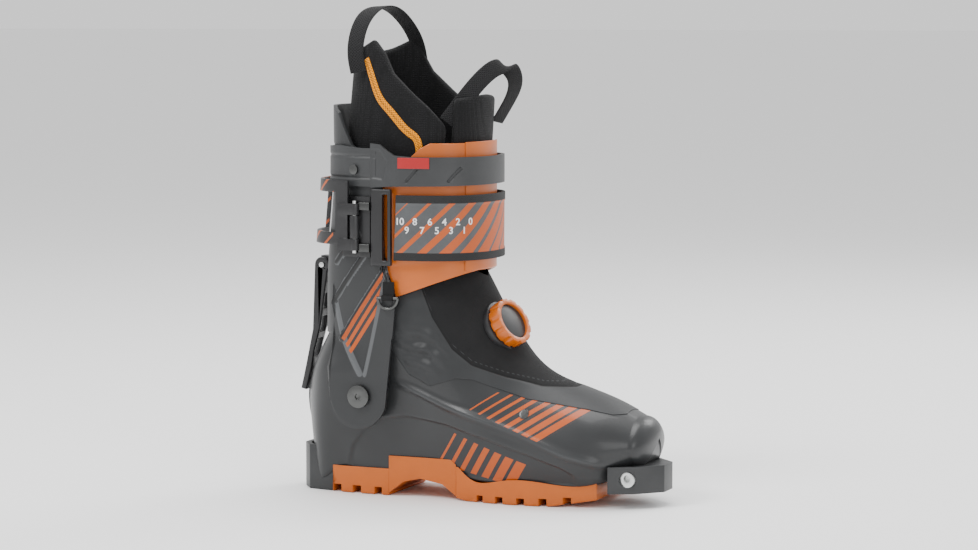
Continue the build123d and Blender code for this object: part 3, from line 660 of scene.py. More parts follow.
class BootColours(bpy.types.PropertyGroup):
    """Colours of the boot."""

    shell: colour_setting("Shell", "Shell and cuff plastic", (0.019, 0.020, 0.021))
    print: colour_setting("Print", "Printed bars", (0.42, 0.070, 0.004))
    orange: colour_setting("Orange", "Tongue plate, dial and sole", (0.48, 0.098, 0.0))
    cloth: colour_setting("Cloth", "Gaiter, liner and webbing", (0.0075, 0.0075, 0.008))
    piping: colour_setting("Piping", "Liner piping", (0.62, 0.215, 0.0))
    label: colour_setting("Label", "Blank label on the upper strap", (0.36, 0.004, 0.006))
    steel: colour_setting("Steel", "Bare steel", (0.62, 0.63, 0.62))
    black: colour_setting("Black", "Buckle, lever and fittings", (0.010, 0.010, 0.011))


class BootSizes(bpy.types.PropertyGroup):
    """Sizes of the boot's visible layers."""

    shell_wall: length_setting("Shell wall", "Thickness of the shell", 0.0026)
    cloth_wall: length_setting("Gaiter", "Thickness of the gaiter", 0.0014)
    strap_wall: length_setting("Straps", "Thickness of the straps", 0.0026)
    puff: length_setting("Padding", "How far the liner's padding may swell", 0.0035)


def colours():
    """The scene's colour settings."""
    return bpy.context.scene.boot_colours


def sizes():
    """The scene's size settings."""
    return bpy.context.scene.boot_sizes


# ---- foot: shell and gaiter -----------------------------------------------------------
CREST_LINE = np.array([(28, 93), (43, 87), (84, 72), (120, 61), (147, 52), (178, 40), (200, 34), (216, 32)])
PANEL_LINE = np.array([(-2, 16), (4, 36), (14, 49), (30, 58), (50, 61), (84, 57), (120, 48), (150, 39),
                       (175, 30), (188, 22)])


def on_line(line, x):
    """Height of a line of the side view at each x."""
    return np.interp(x, line[:, 0], line[:, 1])


def shell_top(x):
    """Height of the shell's top edge: a circle round the pivot at the heel, then just under the
    gaiter's lower edge."""
    heel = PIVOT[1] + np.sqrt(np.clip(HEEL_RADIUS**2 - (x - PIVOT[0]) ** 2, 0, None))
    return np.where(x < 30, heel, on_line(GAITER_LINE, x) + 5.0)


def foot_run(count):
    """Places along the foot, closer together on its two rounded ends."""
    dome = np.sin(np.linspace(math.pi / 2, 0.1, 14))
    start, end = FOOT[0, 0], FOOT[-1, 0]
    inner = np.linspace(start, end, count)
    return np.concatenate((start - HEEL_DOME * dome, inner, end + TOE_DOME * dome[::-1]))


def close_ends(points, flat, tips):
    """Puts the last column of a half skin back on the boot's middle line, where the outline has
    reached it, and draws the tips of both rounded ends to one place each."""
    top = flat[:, -1]
    meets = np.isclose(top[:, 1], middle_line(top[:, 0]), atol=0.02)
    points[meets, -1, 1] = top[meets, 1]
    if tips:
        points[0] = flat[0] - (1, 0, 0)
        points[-1] = flat[-1] + (1, 0, 0)
    return points


def middle_line(x):
    """Centre line of the foot at each x."""
    inside = np.clip(x, FOOT[0, 0], FOOT[-1, 0])
    return weights(FOOT[:, 0], inside) @ FOOT[:, 1]


def shell_half(side):
    """One side of the shell: foot outlines from the sole up to the shell's top edge, moved out
    along a crest and in on the long panel below it."""
    x = foot_run(190)
    high = turn_at(x, shell_top(x), side)
    low = 0.0 if side > 0 else 1.0
    share = np.linspace(0, 1, 84)[None, :]
    points = foot(x[:, None], low + (high[:, None] - low) * share)
    place_x, place_z = points[..., 0], points[..., 2]
    crest = bump(place_z, on_line(CREST_LINE, place_x), 3.2)
    crest = crest * step(place_x, 34, 62) * (1 - step(place_x, 196, 214))
    sunk = step(on_line(PANEL_LINE, place_x) - place_z, -0.9, 0.9) * (1 - step(place_x, 180, 188))
    sunk = sunk * step(place_x, -2, 4) * step(share, 0.0, 0.04)
    relief = 2.6 * crest - 1.7 * sunk + step(place_x, -34, -8)
    moved = close_ends(push(points, relief * step(share, 0.0, 0.03)), points, True)
    half = skin(f"shell_{side}", moved)
    # Painted highlight: a bell along the crest and a weaker one on the lip over the side panel, stored as the
    # ridge number and painted lighter by the shell's finish.
    rim = bump(on_line(PANEL_LINE, place_x) - place_z, -1.2, 1.0) * step(place_x, 2, 10)
    wear_and_highlight = bump(place_z, on_line(CREST_LINE, place_x), 1.3)
    wear_and_highlight = wear_and_highlight * step(place_x, 34, 70) * (1 - step(place_x, 180, 214))
    mark(half, "ridge", np.clip(wear_and_highlight + 0.3 * rim, 0, 1))
    return half


def shell_floor():
    """The shell's underside: straight lines between the two lower edges of the foot."""
    x = foot_run(190)[:, None]
    share = np.linspace(0, 1, 10)[None, :, None]
    floor = foot(x, 0.0) * (1 - share) + foot(x, 1.0) * share
    floor[0] -= (1, 0, 0)
    floor[-1] += (1, 0, 0)
    core = floor + (0, 0, 20)
    return skin("shell_floor", floor, core)


class BOOT_OT_shell(bpy.types.Operator):
    """Build the hard lower shell with its crest, side panels and printed bars."""

    bl_idname = "boot.shell"
    bl_label = "Shell"

    def execute(self, context):
        shell = join("shell", [shell_half(1), shell_half(-1), shell_floor()])
        weld(shell, 0.05)
        wall(shell, sizes().shell_wall / MM)
        ride(shell, "boot", shell_finish(colours()), ["lower_shell"])
        return {"FINISHED"}


def creases(points):
    """Folds in the film over the ankle: waves across a slant whose place is shifted by slower
    waves, fading out as a bell away from the middle of the ankle."""
    x, z = points[..., 0], points[..., 2]
    slant = 0.86 * z + 0.5 * x + 3.0 * np.sin(x / 6.5) + 2.4 * np.sin(z / 9.0)
    fold = 0.9 * np.sin(slant / 2.0) + 0.5 * np.sin((x - 0.7 * z) / 3.1 + np.sin(z / 7.0))
    return fold * bump(x, 66, 17) * bump(z, 112, 23)


def gaiter_half(side):
    """One side of the gaiter: foot outlines from its lower edge up to the middle or, round the
    ankle, up to a circle about the pivot, with creases in the film."""
    x = np.linspace(30.5, 214, 200)
    low = turn_at(x, on_line(GAITER_LINE, x) - 0.5, side)
    circle = PIVOT[1] + np.sqrt(ANKLE_RADIUS**2 - np.clip(x - PIVOT[0], 0, ANKLE_RADIUS) ** 2)
    high = turn_at(x, np.where(x < 108, circle, 400), side)
    share = np.linspace(0, 1, 110)[None, :]
    points = foot(x[:, None], low[:, None] + (high - low)[:, None] * share)
    place_x, place_z = points[..., 0], points[..., 2]
    below = on_line(SEAM_LINE, place_x) - place_z
    fold = creases(points) * step(below, 1, 8) * step(place_z - on_line(GAITER_LINE, place_x), 2, 10)
    cover = 1.1 - 0.8 * step(place_z, 125, 150)
    thick = cover + 0.35 * step(below, -0.5, 0.5) + 1.3 * fold - 0.3 * bump(below, 0, 0.8)
    half = skin(f"gaiter_{side}", close_ends(push(points, thick), points, False))
    mark(half, "below_seam", below)
    return half


class BOOT_OT_gaiter(bpy.types.Operator):
    """Build the soft gaiter over the instep in its resting shape; the real gaiter bends with the cuff."""

    bl_idname = "boot.gaiter"
    bl_label = "Gaiter"

    def execute(self, context):
        gaiter = join("gaiter", [gaiter_half(1), gaiter_half(-1)])
        weld(gaiter, 0.05)
        wall(gaiter, sizes().cloth_wall / MM)
        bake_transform(gaiter)
        dress(gaiter, gaiter_finish(colours()), ["gaiter_instep", "gaiter_ankle"])
        return {"FINISHED"}


class BOOT_OT_sole(bpy.types.Operator):
    """Finish the rubber treads, the heel block, the toe ledge and their steel fittings."""

    bl_idname = "boot.sole"
    bl_label = "Sole"

    def execute(self, context):
        rubber = rubber_finish("sole_rubber", colours().orange)
        moulded = plastic_finish("block_plastic", colours().shell, 0.44, 0.8, 0.07)
        steel = metal_finish("fitting_steel", colours().steel)
        for node in ("sole_heel", "sole_arch", "sole_forefoot"):
            soften(node, "rubber", "boot", "orange_rubber", rubber, 0.7)
        for node in ("heel_block", "toe_ledge"):
            soften(node, "moulded", "boot", "shell_plastic", moulded, 0.9)
        for node in ("toe_fitting_outer", "toe_fitting_inner", "heel_fitting", "heel_screw"):
            soften(node, "steel", "boot", "steel", steel, 0.3)
        return {"FINISHED"}


# ---- cuff -----------------------------------------------------------------------------
CUFF_TOP = np.array([(-60, 294), (-19, 293), (-6, 288), (12, 264), (26, 257), (60, 256)])
ARM_REACH = 25.0
ARM_OUTSIDE = 50.5  # from the boot's middle to the outside of each arm
ARM_X = (-9.5, 42.5)


def cuff_low(x):
    """Height of the cuff's lower edge: level at the back, then round the end of each arm."""
    arm = PIVOT[1] - np.sqrt(np.clip(ARM_REACH**2 - (x - PIVOT[0]) ** 2, 0, None))
    back = step(x, ARM_X[0] + 3.5, ARM_X[0])
    front = step(x, ARM_X[1] - 2.0, ARM_X[1] + 1.0)
    return arm * (1 - back) * (1 - front) + 121.5 * back + 121.5 * front


def inside_gap(x, z, corners):
    """Distance inside a convex outline of the side view, whose corners go round to the left;
    it is negative outside."""
    gaps = []
    for start, end in zip(corners, corners[1:] + corners[:1]):
        run = np.subtract(end, start) / np.hypot(*np.subtract(end, start))
        gaps.append(run[0] * (z - start[1]) - run[1] * (x - start[0]))
    return np.min(gaps, axis=0)


UPPER_RIB = ((-8, 145), (30, 193))
LOWER_RIB = ((0, 118.5), (38, 171.5))
SMALL_RIB = ((-4, 176), (11, 193))
LEFT_BEVEL = np.array([(-7, 150), (1.5, 120), (17, 93)])
RIGHT_BEVEL = np.array([(39, 168), (21, 92)])
PRINT_PANEL = [(19.5, 94), (38, 171), (1.0, 119)]
UPPER_FACET = [(1, 121), (37, 171), (30, 193), (-8, 145)]


# Height and x of the cuff's front edges, which are the same on both sides.
CUFF_EDGE = np.array([(70, 43), (122, 44), (150, 46), (178, 38), (228, 34), (260, 34)])
CUFF_WALL = 2.8
ROUND_EDGE = 0.5  # rounding of the open edges of hard skins


def cuff_points():
    """The cuff's outside: the leg's ovals round the back, from one front edge to the other. The
    arms are drawn in to two flat faces."""
    around = np.linspace(-1, 1, 271)[:, None]
    up = np.linspace(0, 1, 150)[None, :]
    near_x = leg(CUFF, 0.5 + 0.26 * around[:, 0], 150.0)[:, 0]
    low = cuff_low(near_x)[:, None]
    high = on_line(CUFF_TOP, near_x)[:, None]
    z = low + (high - low) * up
    span = 0.25 - (40.0 - on_line(CUFF_EDGE, z)) / GIRTH
    points = leg(CUFF, 0.5 + around * np.broadcast_to(span, z.shape), z)
    arm = 1 - step(z, 92, 121)
    points[..., 1] += arm * (np.sign(points[..., 1]) * ARM_OUTSIDE - points[..., 1])
    return points


class BOOT_OT_cuff(bpy.types.Operator):
    """Build the stiff cuff with its arms, ribs, bevels and printed side panels."""

    bl_idname = "boot.cuff"
    bl_label = "Cuff"

    def execute(self, context):
        points = cuff_points()
        x = points[..., 0]
        z = points[..., 2]
        side = step(np.abs(points[..., 1]), 26, 36)
        rib = np.max([2.3 - segment_gap(x, z, *line) for line in (UPPER_RIB, LOWER_RIB, SMALL_RIB)], axis=0)
        # Painted highlight bands along the two bevels, stored below as the pale number; they also raise the
        # surface a little.
        pale = np.maximum(2.4 - line_gap(x, z, LEFT_BEVEL), 1.5 - line_gap(x, z, RIGHT_BEVEL))
        panel = inside_gap(x, z, PRINT_PANEL)
        facet = inside_gap(x, z, UPPER_FACET)
        groove = bump(z, 262 - 0.1 * x, 1.0) + bump(z, 238, 1.0)
        relief = 1.5 * step(rib, 0, 1.2) - 0.9 * step(panel, -0.6, 0.6) - 0.5 * step(facet, -0.6, 0.6)
        relief = relief * side - 0.7 * groove * (1 - step(x, 2, 10))
        relief += 0.5 * side * step(pale, 0, 2)
        arm_edge = step(ARM_REACH - np.hypot(x - PIVOT[0], z - PIVOT[1]), 0, 1.6)
        relief -= 0.6 * (1 - arm_edge) * (z < PIVOT[1])
        cuff = skin("cuff", push(points, relief))
        mark(cuff, "rib", np.where(side > 0.5, rib - 0.6, -5))
        # The pale number carries the painted highlight on the bevels, left off where a rib runs.
        mark(cuff, "pale", np.where(side > 0.5, pale, -5) * np.where(rib > -0.4, -1, 1))
        mark(cuff, "panel", np.where(side > 0.5, panel, -5))
        wall(cuff, CUFF_WALL, ROUND_EDGE)
        ride(cuff, "cuff", cuff_finish(colours()), ["cuff_shell"])
        return {"FINISHED"}


def band(start, end, low, high, grow, columns, rows):
    """A patch of the cuff's shape between two turns, grown outwards. Its lower and upper edges
    are lines of the side view."""
    turn = np.linspace(start, end, columns)
    near_x = leg(CUFF, turn, 240.0)[:, 0]
    bottom = on_line(np.array(low), near_x)[:, None]
    top = on_line(np.array(high), near_x)[:, None]
    z = bottom + (top - bottom) * np.linspace(0, 1, rows)[None, :]
    return leg(CUFF, np.broadcast_to(turn[:, None], z.shape), z, grow)


class BOOT_OT_tongue_plate(bpy.types.Operator):
    """Build the thin orange plate over the shin, with its overlapping front flap."""

    bl_idname = "boot.tongue_plate"
    bl_label = "Tongue plate"

    def execute(self, context):
        orange = plastic_finish("plate_plastic", colours().orange, 0.36, 0.5, 0.03, 0.08, coat=0.15)
        low = [(24, 176), (44, 150), (54, 153), (112, 174)]
        high = [(24, 246), (52, 250), (66, 262), (74, 266)]
        points = band(-0.3, 0.3, low, high, -3.3, 200, 80)
        dent = -0.3 * bump(points[..., 2], 170 + 0.1 * points[..., 0], 3)
        plate = skin("tongue_plate_skin", push(points, dent))
        wall(plate, 2.2, ROUND_EDGE)
        ride(plate, "cuff", orange, ["tongue_plate"])
        flap_points = band(-0.085, 0.085, [(80, 171)], [(80, 255), (92, 266.5), (106, 267)], -2.6, 90, 80)
        flap = skin("plate_flap", flap_points)
        wall(flap, 0.8, 0.3)
        ride(flap, "cuff", orange)
        return {"FINISHED"}


SLOTS = (((57, 238), (65, 247)), ((88, 238.5), (95, 247.5)))
FIGURE_SIZE = 7.2
FIGURE_RAISED = 0.12
FIGURE_PITCH = 0.0285  # share of a turn between two numbers of a row


def figure(text, turn, z):
    """A raised number of the strap's scale, laid on the strap's outside at one place."""
    letters = bpy.data.curves.new("figure", "FONT")
    letters.body = text
    letters.size = FIGURE_SIZE * MM
    letters.align_x = "CENTER"
    letters.extrude = FIGURE_RAISED * MM
    letters.offset = FIGURE_RAISED * MM
    shape = bpy.data.objects.new("figure", letters)
    piece = bpy.data.objects.new("figure", bpy.data.meshes.new_from_object(shape))
    bpy.context.scene.collection.objects.link(piece)
    before, middle, after = leg(CUFF, np.array([turn - 0.004, turn, turn + 0.004]), z, 3.0) * MM
    along = Vector(after - before).normalized()
    up = Vector((0, 0, 1))
    turned = Matrix((along, up, along.cross(up))).transposed().to_4x4()
    piece.data.transform(Matrix.Translation(middle - np.array((0, 0, 2.6 * MM))) @ turned)
    return piece


def upper_strap(moulded):
    """The strap at the top of the cuff, with a sunk panel and two slots on its outer side."""
    low = [(22, 235), (30, 233), (44, 234), (106, 235)]
    high = [(22, 262), (27, 266), (36, 265), (47, 257), (60, 256)]
    points = band(-0.285, 0.285, low, high, 2.9, 320, 44)
    x, z = points[..., 0], points[..., 2]
    frame_gap = inside_gap(x, z, [(29, 240), (38, 239), (42, 252), (36, 261), (29, 261)])
    slot = np.max([1.2 - segment_gap(x, z, *line) for line in SLOTS], axis=0)
    relief = -0.9 * step(frame_gap, -0.5, 0.9) - 1.3 * step(slot, -0.3, 0.5)
    relief = relief + 0.35 * (1 - step(x, 40, 46))
    upper = skin("upper_strap_skin", push(points, relief * (points[..., 1] < 0)))
    wall(upper, sizes().strap_wall / MM, ROUND_EDGE)
    ride(upper, "cuff", moulded, ["upper_strap"])


def strap_wing(moulded):
    """The wing round the cuff's back, with two grooves along it."""
    points = band(0.275, 0.725, [(0, 233.5)], [(-20, 262), (0, 264), (20, 262)], 2.6, 200, 40)
    height = points[..., 2]
    wing = skin("strap_wing", push(points, -0.8 * bump(height, 256, 0.9) - 0.8 * bump(height, 240, 0.9)))
    wall(wing, 2.4, ROUND_EDGE)
    ride(wing, "cuff", moulded, ["cuff_collar"])


def blank_label():
    """The red label on the upper strap, left blank."""
    label = skin("blank_label", band(-0.232, -0.172, [(0, 247.5)], [(0, 255.5)], 3.5, 24, 10))
    wall(label, 0.6, 0.2)
    red = plastic_finish("label_red", colours().label, 0.4, 0.5, 0.03, 0.06)
    ride(label, "cuff", red)


def wide_strap():
    """The printed strap over the shin, with a raised hem along both edges."""
    points = band(-0.235, 0.235, [(0, 179.2)], [(0, 227.8)], 2.9, 240, 60)
    height = points[..., 2]
    hem = 0.5 * (step(height, 220.5, 221.5) + 1 - step(height, 185.5, 186.5))
    wide = skin("wide_strap_skin", push(points, hem))
    wall(wide, sizes().strap_wall / MM, ROUND_EDGE)
    ride(wide, "cuff", strap_finish(colours()), ["wide_strap"])


def strap_scale():
    """The scale on the wide strap: even numbers in the upper row, odd ones in the lower."""
    numbers = [figure(str(10 - 2 * k), -0.226 + FIGURE_PITCH * k, 208.6) for k in range(6)]
    numbers += [figure(str(9 - 2 * k), -0.212 + FIGURE_PITCH * k, 202.2) for k in range(5)]
    scale = join("strap_scale", numbers)
    white = plastic_finish("scale_print", (0.75, 0.75, 0.75), 0.5, 0.5, 0.02, 0.05)
    ride(scale, "cuff", white)


class BOOT_OT_straps(bpy.types.Operator):
    """Build the upper strap with its wing and blank label, and the printed wide strap."""

    bl_idname = "boot.straps"
    bl_label = "Straps"

    def execute(self, context):
        moulded = plastic_finish("strap_plastic", shade(colours().shell, 1.3), 0.46, 0.7, 0.06)
        upper_strap(moulded)
        strap_wing(moulded)
        blank_label()
        wide_strap()
        strap_scale()
        return {"FINISHED"}


class BOOT_OT_buckle(bpy.types.Operator):
    """Finish the strap's frame, the buckle with its looped lever and hooks, and the walk lever."""

    bl_idname = "boot.buckle"
    bl_label = "Buckle and levers"

    def execute(self, context):
        black = plastic_finish("buckle_nylon", colours().black, 0.38, 0.6, 0.05)
        dark = metal_finish("dark_metal", shade(colours().steel, 0.12), 0.34, 0.2)
        steel = metal_finish("pin_steel", colours().steel)
        parts = (
            ("strap_frame", "cuff", "shell_plastic", black, 0.8),
            ("buckle_base", "cuff", "buckle_plastic", black, 0.6),
            ("buckle_lever", "buckle_lever", "buckle_plastic", lever_finish(colours()), 0.7),
            ("lever_lug", "cuff", "shell_plastic", black, 0.6),
            ("walk_lever", "walk_lever", "buckle_plastic", black, 0.8),
            ("buckle_hooks", "cuff", "dark_metal", dark, 0.5),
            ("buckle_pin", "cuff", "steel", steel, 0.2),
            ("lever_pin", "cuff", "steel", steel, 0.3),
            ("heel_catch", "boot", "steel", steel, 0.3),
        )
        for node, *finish in parts:
            soften(node, "finished", *finish)
        return {"FINISHED"}


class BOOT_OT_dial(bpy.types.Operator):
    """Finish the lace dial: ribbed orange knob, dark face and housing."""

    bl_idname = "boot.dial"
    bl_label = "Lace dial"

    def execute(self, context):
        orange = plastic_finish("dial_orange", colours().orange, 0.34, 0.5, 0.03, 0.08, coat=0.2)
        black = plastic_finish("dial_black", colours().black, 0.42, 0.6, 0.05)
        grey = plastic_finish("dial_grey", shade(colours().shell, 0.9), 0.40, 0.6, 0.05)
        parts = (
            ("dial_base", "boot", "shell_plastic", black, 0.6),
            ("dial_knob", "dial", "orange_plastic", orange, 0.9),
            ("dial_face", "dial", "shell_plastic", grey, 0.8),
        )
        for node, *finish in parts:
            soften(node, "finished", *finish)
        return {"FINISHED"}


class BOOT_OT_hardware(bpy.types.Operator):
    """Finish the pivot bolts and bushes, the rivets, the leash ring and its tab."""

    bl_idname = "boot.hardware"
    bl_label = "Hardware"

    def execute(self, context):
        dark = metal_finish("bolt_metal", shade(colours().steel, 0.16), 0.30, 0.3)
        black = plastic_finish("bush_plastic", colours().black, 0.5)
        tape = webbing_finish("tab_webbing", colours().cloth)
        parts = (
            ("pivot_bolt_outer", "boot", "dark_metal", dark),
            ("pivot_bolt_inner", "boot", "dark_metal", dark),
            ("toe_rivet_outer", "boot", "dark_metal", dark),
            ("toe_rivet_inner", "boot", "dark_metal", dark),
            ("pivot_bush_outer", "boot", "shell_plastic", black),
            ("pivot_bush_inner", "boot", "shell_plastic", black),
            ("cuff_rivets", "cuff", "dark_metal", dark),
            ("leash_ring", "leash_ring", "dark_metal", dark),
            ("ring_tab", "cuff", "strap_fabric", tape),
        )
        for node, *finish in parts:
            soften(node, "finished", *finish, 0.35)
        return {"FINISHED"}


# ---- liner ----------------------------------------------------------------------------
LINER_TOP = np.array([(-14, 328), (4, 334), (18, 341), (28, 332), (38, 317), (54, 304), (71, 291), (90, 272),
                      (98, 262)])
PIPING_LINE = np.array([(15, 328), (22, 314), (30, 299), (41, 288), (53, 276), (62, 269), (65, 258),
                        (65, 248)])
LINER_FOOT = np.array([(-8, 135), (20, 139.5), (60, 153), (98, 162)])
PIPING_HALF = 3.0
PAD = 7.0  # thickness of the padding
TONGUE_PUFF = 2.0  # how far the tongue's padding may swell
SWELL_FRAMES = 20


def pad_loop(rows, rim):
    """The closed outline of a pad's section: out goes from 1 outside to -1 inside, up from 0 to
    1, and lift is the round of the rim and the foot, in half thicknesses."""
    rise = np.linspace(0, 1, rows)
    round_off = np.linspace(0, math.pi, rim + 2)[1:-1]
    out = np.concatenate((np.ones(rows), np.cos(round_off), -np.ones(rows), -np.cos(round_off)))
    up = np.concatenate((rise, np.ones(rim), rise[::-1], np.zeros(rim)))
    lift = np.concatenate((np.zeros(rows), np.sin(round_off), np.zeros(rows), -np.sin(round_off)))
    return out, up, lift


def pad(name, turn, low, high, rows, rim, thickness):
    """A padded wall of the liner: the section's loop carried round the leg's oval, with the
    thickness falling to nothing at both ends as a quarter circle."""
    out, up, lift = pad_loop(rows, rim)
    reach = np.abs(np.linspace(-1, 1, len(turn)))
    full = np.sqrt(np.clip(1 - np.clip((reach - 0.955) / 0.045, 0, 1) ** 2, 0, 1))[:, None]
    half = thickness / 2 * np.maximum(full, 0.02)
    z = low[:, None] + (high - low)[:, None] * up + half * lift
    grow = -thickness / 2 + half * out
    points = leg(LINER, np.broadcast_to(turn[:, None], z.shape), z, grow)
    core = leg(LINER, np.broadcast_to(turn[:, None], z.shape), z, -thickness / 2)
    return skin(name, points, core, True), points, up, out


def swell(piece, held, cap):
    """Inflates a padded piece with cloth pressure while its seams are held, and lets no
    point move further than the cap, in millimetres."""
    rest = np.empty(len(piece.data.vertices) * 3)
    piece.data.vertices.foreach_get("co", rest)
    group = piece.vertex_groups.new(name="held")
    group.add(np.flatnonzero(held).tolist(), 1.0, "REPLACE")
    cloth = piece.modifiers.new("padding", "CLOTH")
    cloth.settings.quality = 4
    cloth.settings.mass = 0.2
    cloth.settings.tension_stiffness = 14
    cloth.settings.compression_stiffness = 14
    cloth.settings.bending_stiffness = 0.6
    cloth.settings.use_pressure = True
    cloth.settings.uniform_pressure_force = 4
    cloth.settings.vertex_group_mass = "held"
    cloth.settings.pin_stiffness = 20
    cloth.settings.effector_weights.gravity = 0
    cloth.point_cache.frame_end = SWELL_FRAMES
    for moment in range(1, SWELL_FRAMES + 1):
        bpy.context.scene.frame_set(moment)
    ready = piece.evaluated_get(bpy.context.evaluated_depsgraph_get())
    swollen = np.empty_like(rest)
    ready.data.vertices.foreach_get("co", swollen)
    piece.modifiers.remove(cloth)
    bpy.context.scene.frame_set(1)
    move = (swollen - rest).reshape(-1, 3)
    far = np.linalg.norm(move, axis=1, keepdims=True) + 1e-12
    move *= np.minimum(1, cap * MM / far)
    piece.data.vertices.foreach_set("co", rest + move.reshape(-1))
    piece.data.update()


def liner_shaft(knit):
    """The padded shaft, held below its middle, on its outside and along its sewn channels."""
    turn = np.linspace(0.135, 0.865, 210)
    near_x = leg(LINER, turn, 300.0)[:, 0]
    low = on_line(LINER_FOOT, near_x)
    high = on_line(LINER_TOP, near_x)
    shaft, points, up, out = pad("liner_shaft_padding", turn, low, high - 2.5, 40, 7, PAD)
    column = np.arange(len(turn))[:, None]
    channels = (column % 14 == 7) & (out < -0.99) & (up > 0.55)
    rows_held = (np.abs(up * 40 - 31) < 0.6) & (out < -0.99)
    outside = np.broadcast_to(out > 0.99, points.shape[:2])
    swell(shaft, outside | channels | rows_held | (up < 0.5), sizes().puff / MM)
    ride(shaft, "cuff", knit, ["liner_shaft"])


def liner_tongue(knit):
    """The padded tongue, held over its lower part, along both edges and across its top."""
    front = np.linspace(-0.115, 0.115, 70)
    flat = np.ones_like(front)
    crown = 298.0 - 60.0 * np.abs(front) ** 1.4
    tongue, points, up, out = pad("liner_tongue_padding", front, 182 * flat, crown, 44, 7, PAD)
    column = np.arange(len(front))[:, None]
    edge = (np.abs(column - 34.5) > 29) & (np.abs(column - 34.5) < 30.2)
    across = np.abs(up * 44 - 37) < 0.6
    swell(tongue, np.broadcast_to((up < 0.45) | edge | across, points.shape[:2]), TONGUE_PUFF)
    ride(tongue, "cuff", knit, ["liner_tongue"])


def piping():
    """The flat ribbons sewn on both sides of the shaft, each with a row of stitches."""
    ribbon = webbing_finish("piping_ribbon", colours().piping)
    thread = plastic_finish("piping_thread", shade(colours().piping, 0.45), 0.7)
    along = np.linspace(0, 1, 90)
    run = weights(np.linspace(0, 1, len(PIPING_LINE)), along) @ PIPING_LINE
    slope = np.gradient(run, axis=0)
    slope /= np.linalg.norm(slope, axis=1, keepdims=True)
    across = np.linspace(-PIPING_HALF, PIPING_HALF, 7)[None, :]
    z = run[:, 1:] + across * slope[:, :1]
    lift = 1.1 - 0.5 * (across / PIPING_HALF) ** 2 - 0.35 * bump(across, 0, 0.7)
    for side, where in ((-1, "outer"), (1, "inner")):
        share = np.linspace(0.08, 0.40, 400)
        turn = share if side > 0 else 1 - share
        near = leg(LINER, turn, 290.0)[:, 0]
        at = np.interp(-run[:, 0], -near, turn)
        turn_shift = side * across * slope[:, 1:] / GIRTH
        strip = skin(f"liner_piping_{where}", leg(LINER, at[:, None] + turn_shift, z, lift + 0 * z))
        wall(strip, 0.8, 0.2)
        ride(strip, "cuff", ribbon)
        line = leg(LINER, at, run[:, 1], 1.2)
        stitches = [tube(f"stitch_{side}_{k}", line[k:k + 2], 0.28, 6) for k in range(2, 88, 2)]
        ride(join(f"piping_stitches_{where}", stitches), "cuff", thread)


class BOOT_OT_liner(bpy.types.Operator):
    """Build the padded liner: shaft, tongue, foot and the piping sewn on its side."""

    bl_idname = "boot.liner"
    bl_label = "Liner"

    def execute(self, context):
        knit = knit_finish("liner_knit", shade(colours().cloth, 1.3))
        liner_shaft(knit)
        liner_tongue(knit)
        for node in ("liner_foot", "footbed"):
            soften(node, "fabric", "boot", "liner_fabric", knit, 0.8)
        piping()
        return {"FINISHED"}


def ribbon_loop(name, path, width_way, width, thick):
    """A flat tape along a smooth path: a thin round-edged oval whose long axis is the width's."""
    steps = np.linspace(0, 1, 90)
    line = weights(np.linspace(0, 1, len(path)), steps) @ np.array(path, dtype=float)
    slope = np.gradient(line, axis=0)
    slope /= np.linalg.norm(slope, axis=1, keepdims=True)
    ways = weights(np.linspace(0, 1, len(width_way)), steps) @ np.array(width_way, dtype=float)
    ways -= slope * np.sum(slope * ways, axis=1, keepdims=True)
    ways /= np.linalg.norm(ways, axis=1, keepdims=True)
    face = np.cross(slope, ways)
    angle = np.linspace(0, 2 * math.pi, 28, endpoint=False)[None, :, None]
    flat = np.sign(np.cos(angle)) * np.abs(np.cos(angle)) ** 0.5
    edge = np.sign(np.sin(angle)) * np.abs(np.sin(angle)) ** 0.8
    points = line[:, None] + flat * ways[:, None] * width / 2 + edge * face[:, None] * thick / 2
    return skin(name, points, np.broadcast_to(line[:, None], points.shape), True)


class BOOT_OT_loops(bpy.types.Operator):
    """Build the two webbing pull loops on the liner."""

    bl_idname = "boot.loops"
    bl_label = "Pull loops"

    def execute(self, context):
        tape = webbing_finish("loop_webbing", shade(colours().cloth, 1.2))
        rear = [(13, -41.5, 318), (10, -40, 336), (10, -27, 356), (14, -8, 366), (20, 12, 363), (26, 30, 347),
                (29, 37, 330), (30, 40.5, 312)]
        rear_ways = [(1, 0.3, 0), (1, 0.5, 0.1), (1, 0.1, 0), (1, -0.1, 0)]
        loop = ribbon_loop("heel_loop_tape", rear, rear_ways, 12, 1.6)
        ride(loop, "cuff", tape, ["heel_loop"])
        front = [(80, -31, 281), (87, -26, 292), (97, -17, 308), (108, -5, 321), (115, 8, 320),
                 (115.5, 17, 308), (107, 22, 293), (98.5, 23, 280)]
        front_ways = [(0.8, 0.5, -0.5), (0.7, 0.3, -0.6), (0.6, 0.9, 0), (0.4, 0.9, 0)]
        loop = ribbon_loop("tongue_loop_tape", front, front_ways, 13, 1.6)
        ride(loop, "cuff", tape, ["tongue_loop"])
        return {"FINISHED"}


# ---- stage ----------------------------------------------------------------------------
AZIMUTH = math.radians(22)
ELEVATION = math.radians(5)
AIM = (93.8, 161.9)  # the view's middle, right of and above the origin
DISTANCE = 2300.0
VIEW_WIDTH = 752.0
FLOOR_HALF = 60000.0
FLOOR_LEVEL = -0.4  # just under the treads


def area_light(name, place, aim, size, power):
    """A square soft light that faces a point."""
    light = bpy.data.lights.new(name, "AREA")
    light.size = size
    light.energy = power
    lamp = bpy.data.objects.new(name, light)
    bpy.context.scene.collection.objects.link(lamp)
    lamp.location = place
    lamp.rotation_euler = (Vector(aim) - Vector(place)).to_track_quat("-Z", "Y").to_euler()


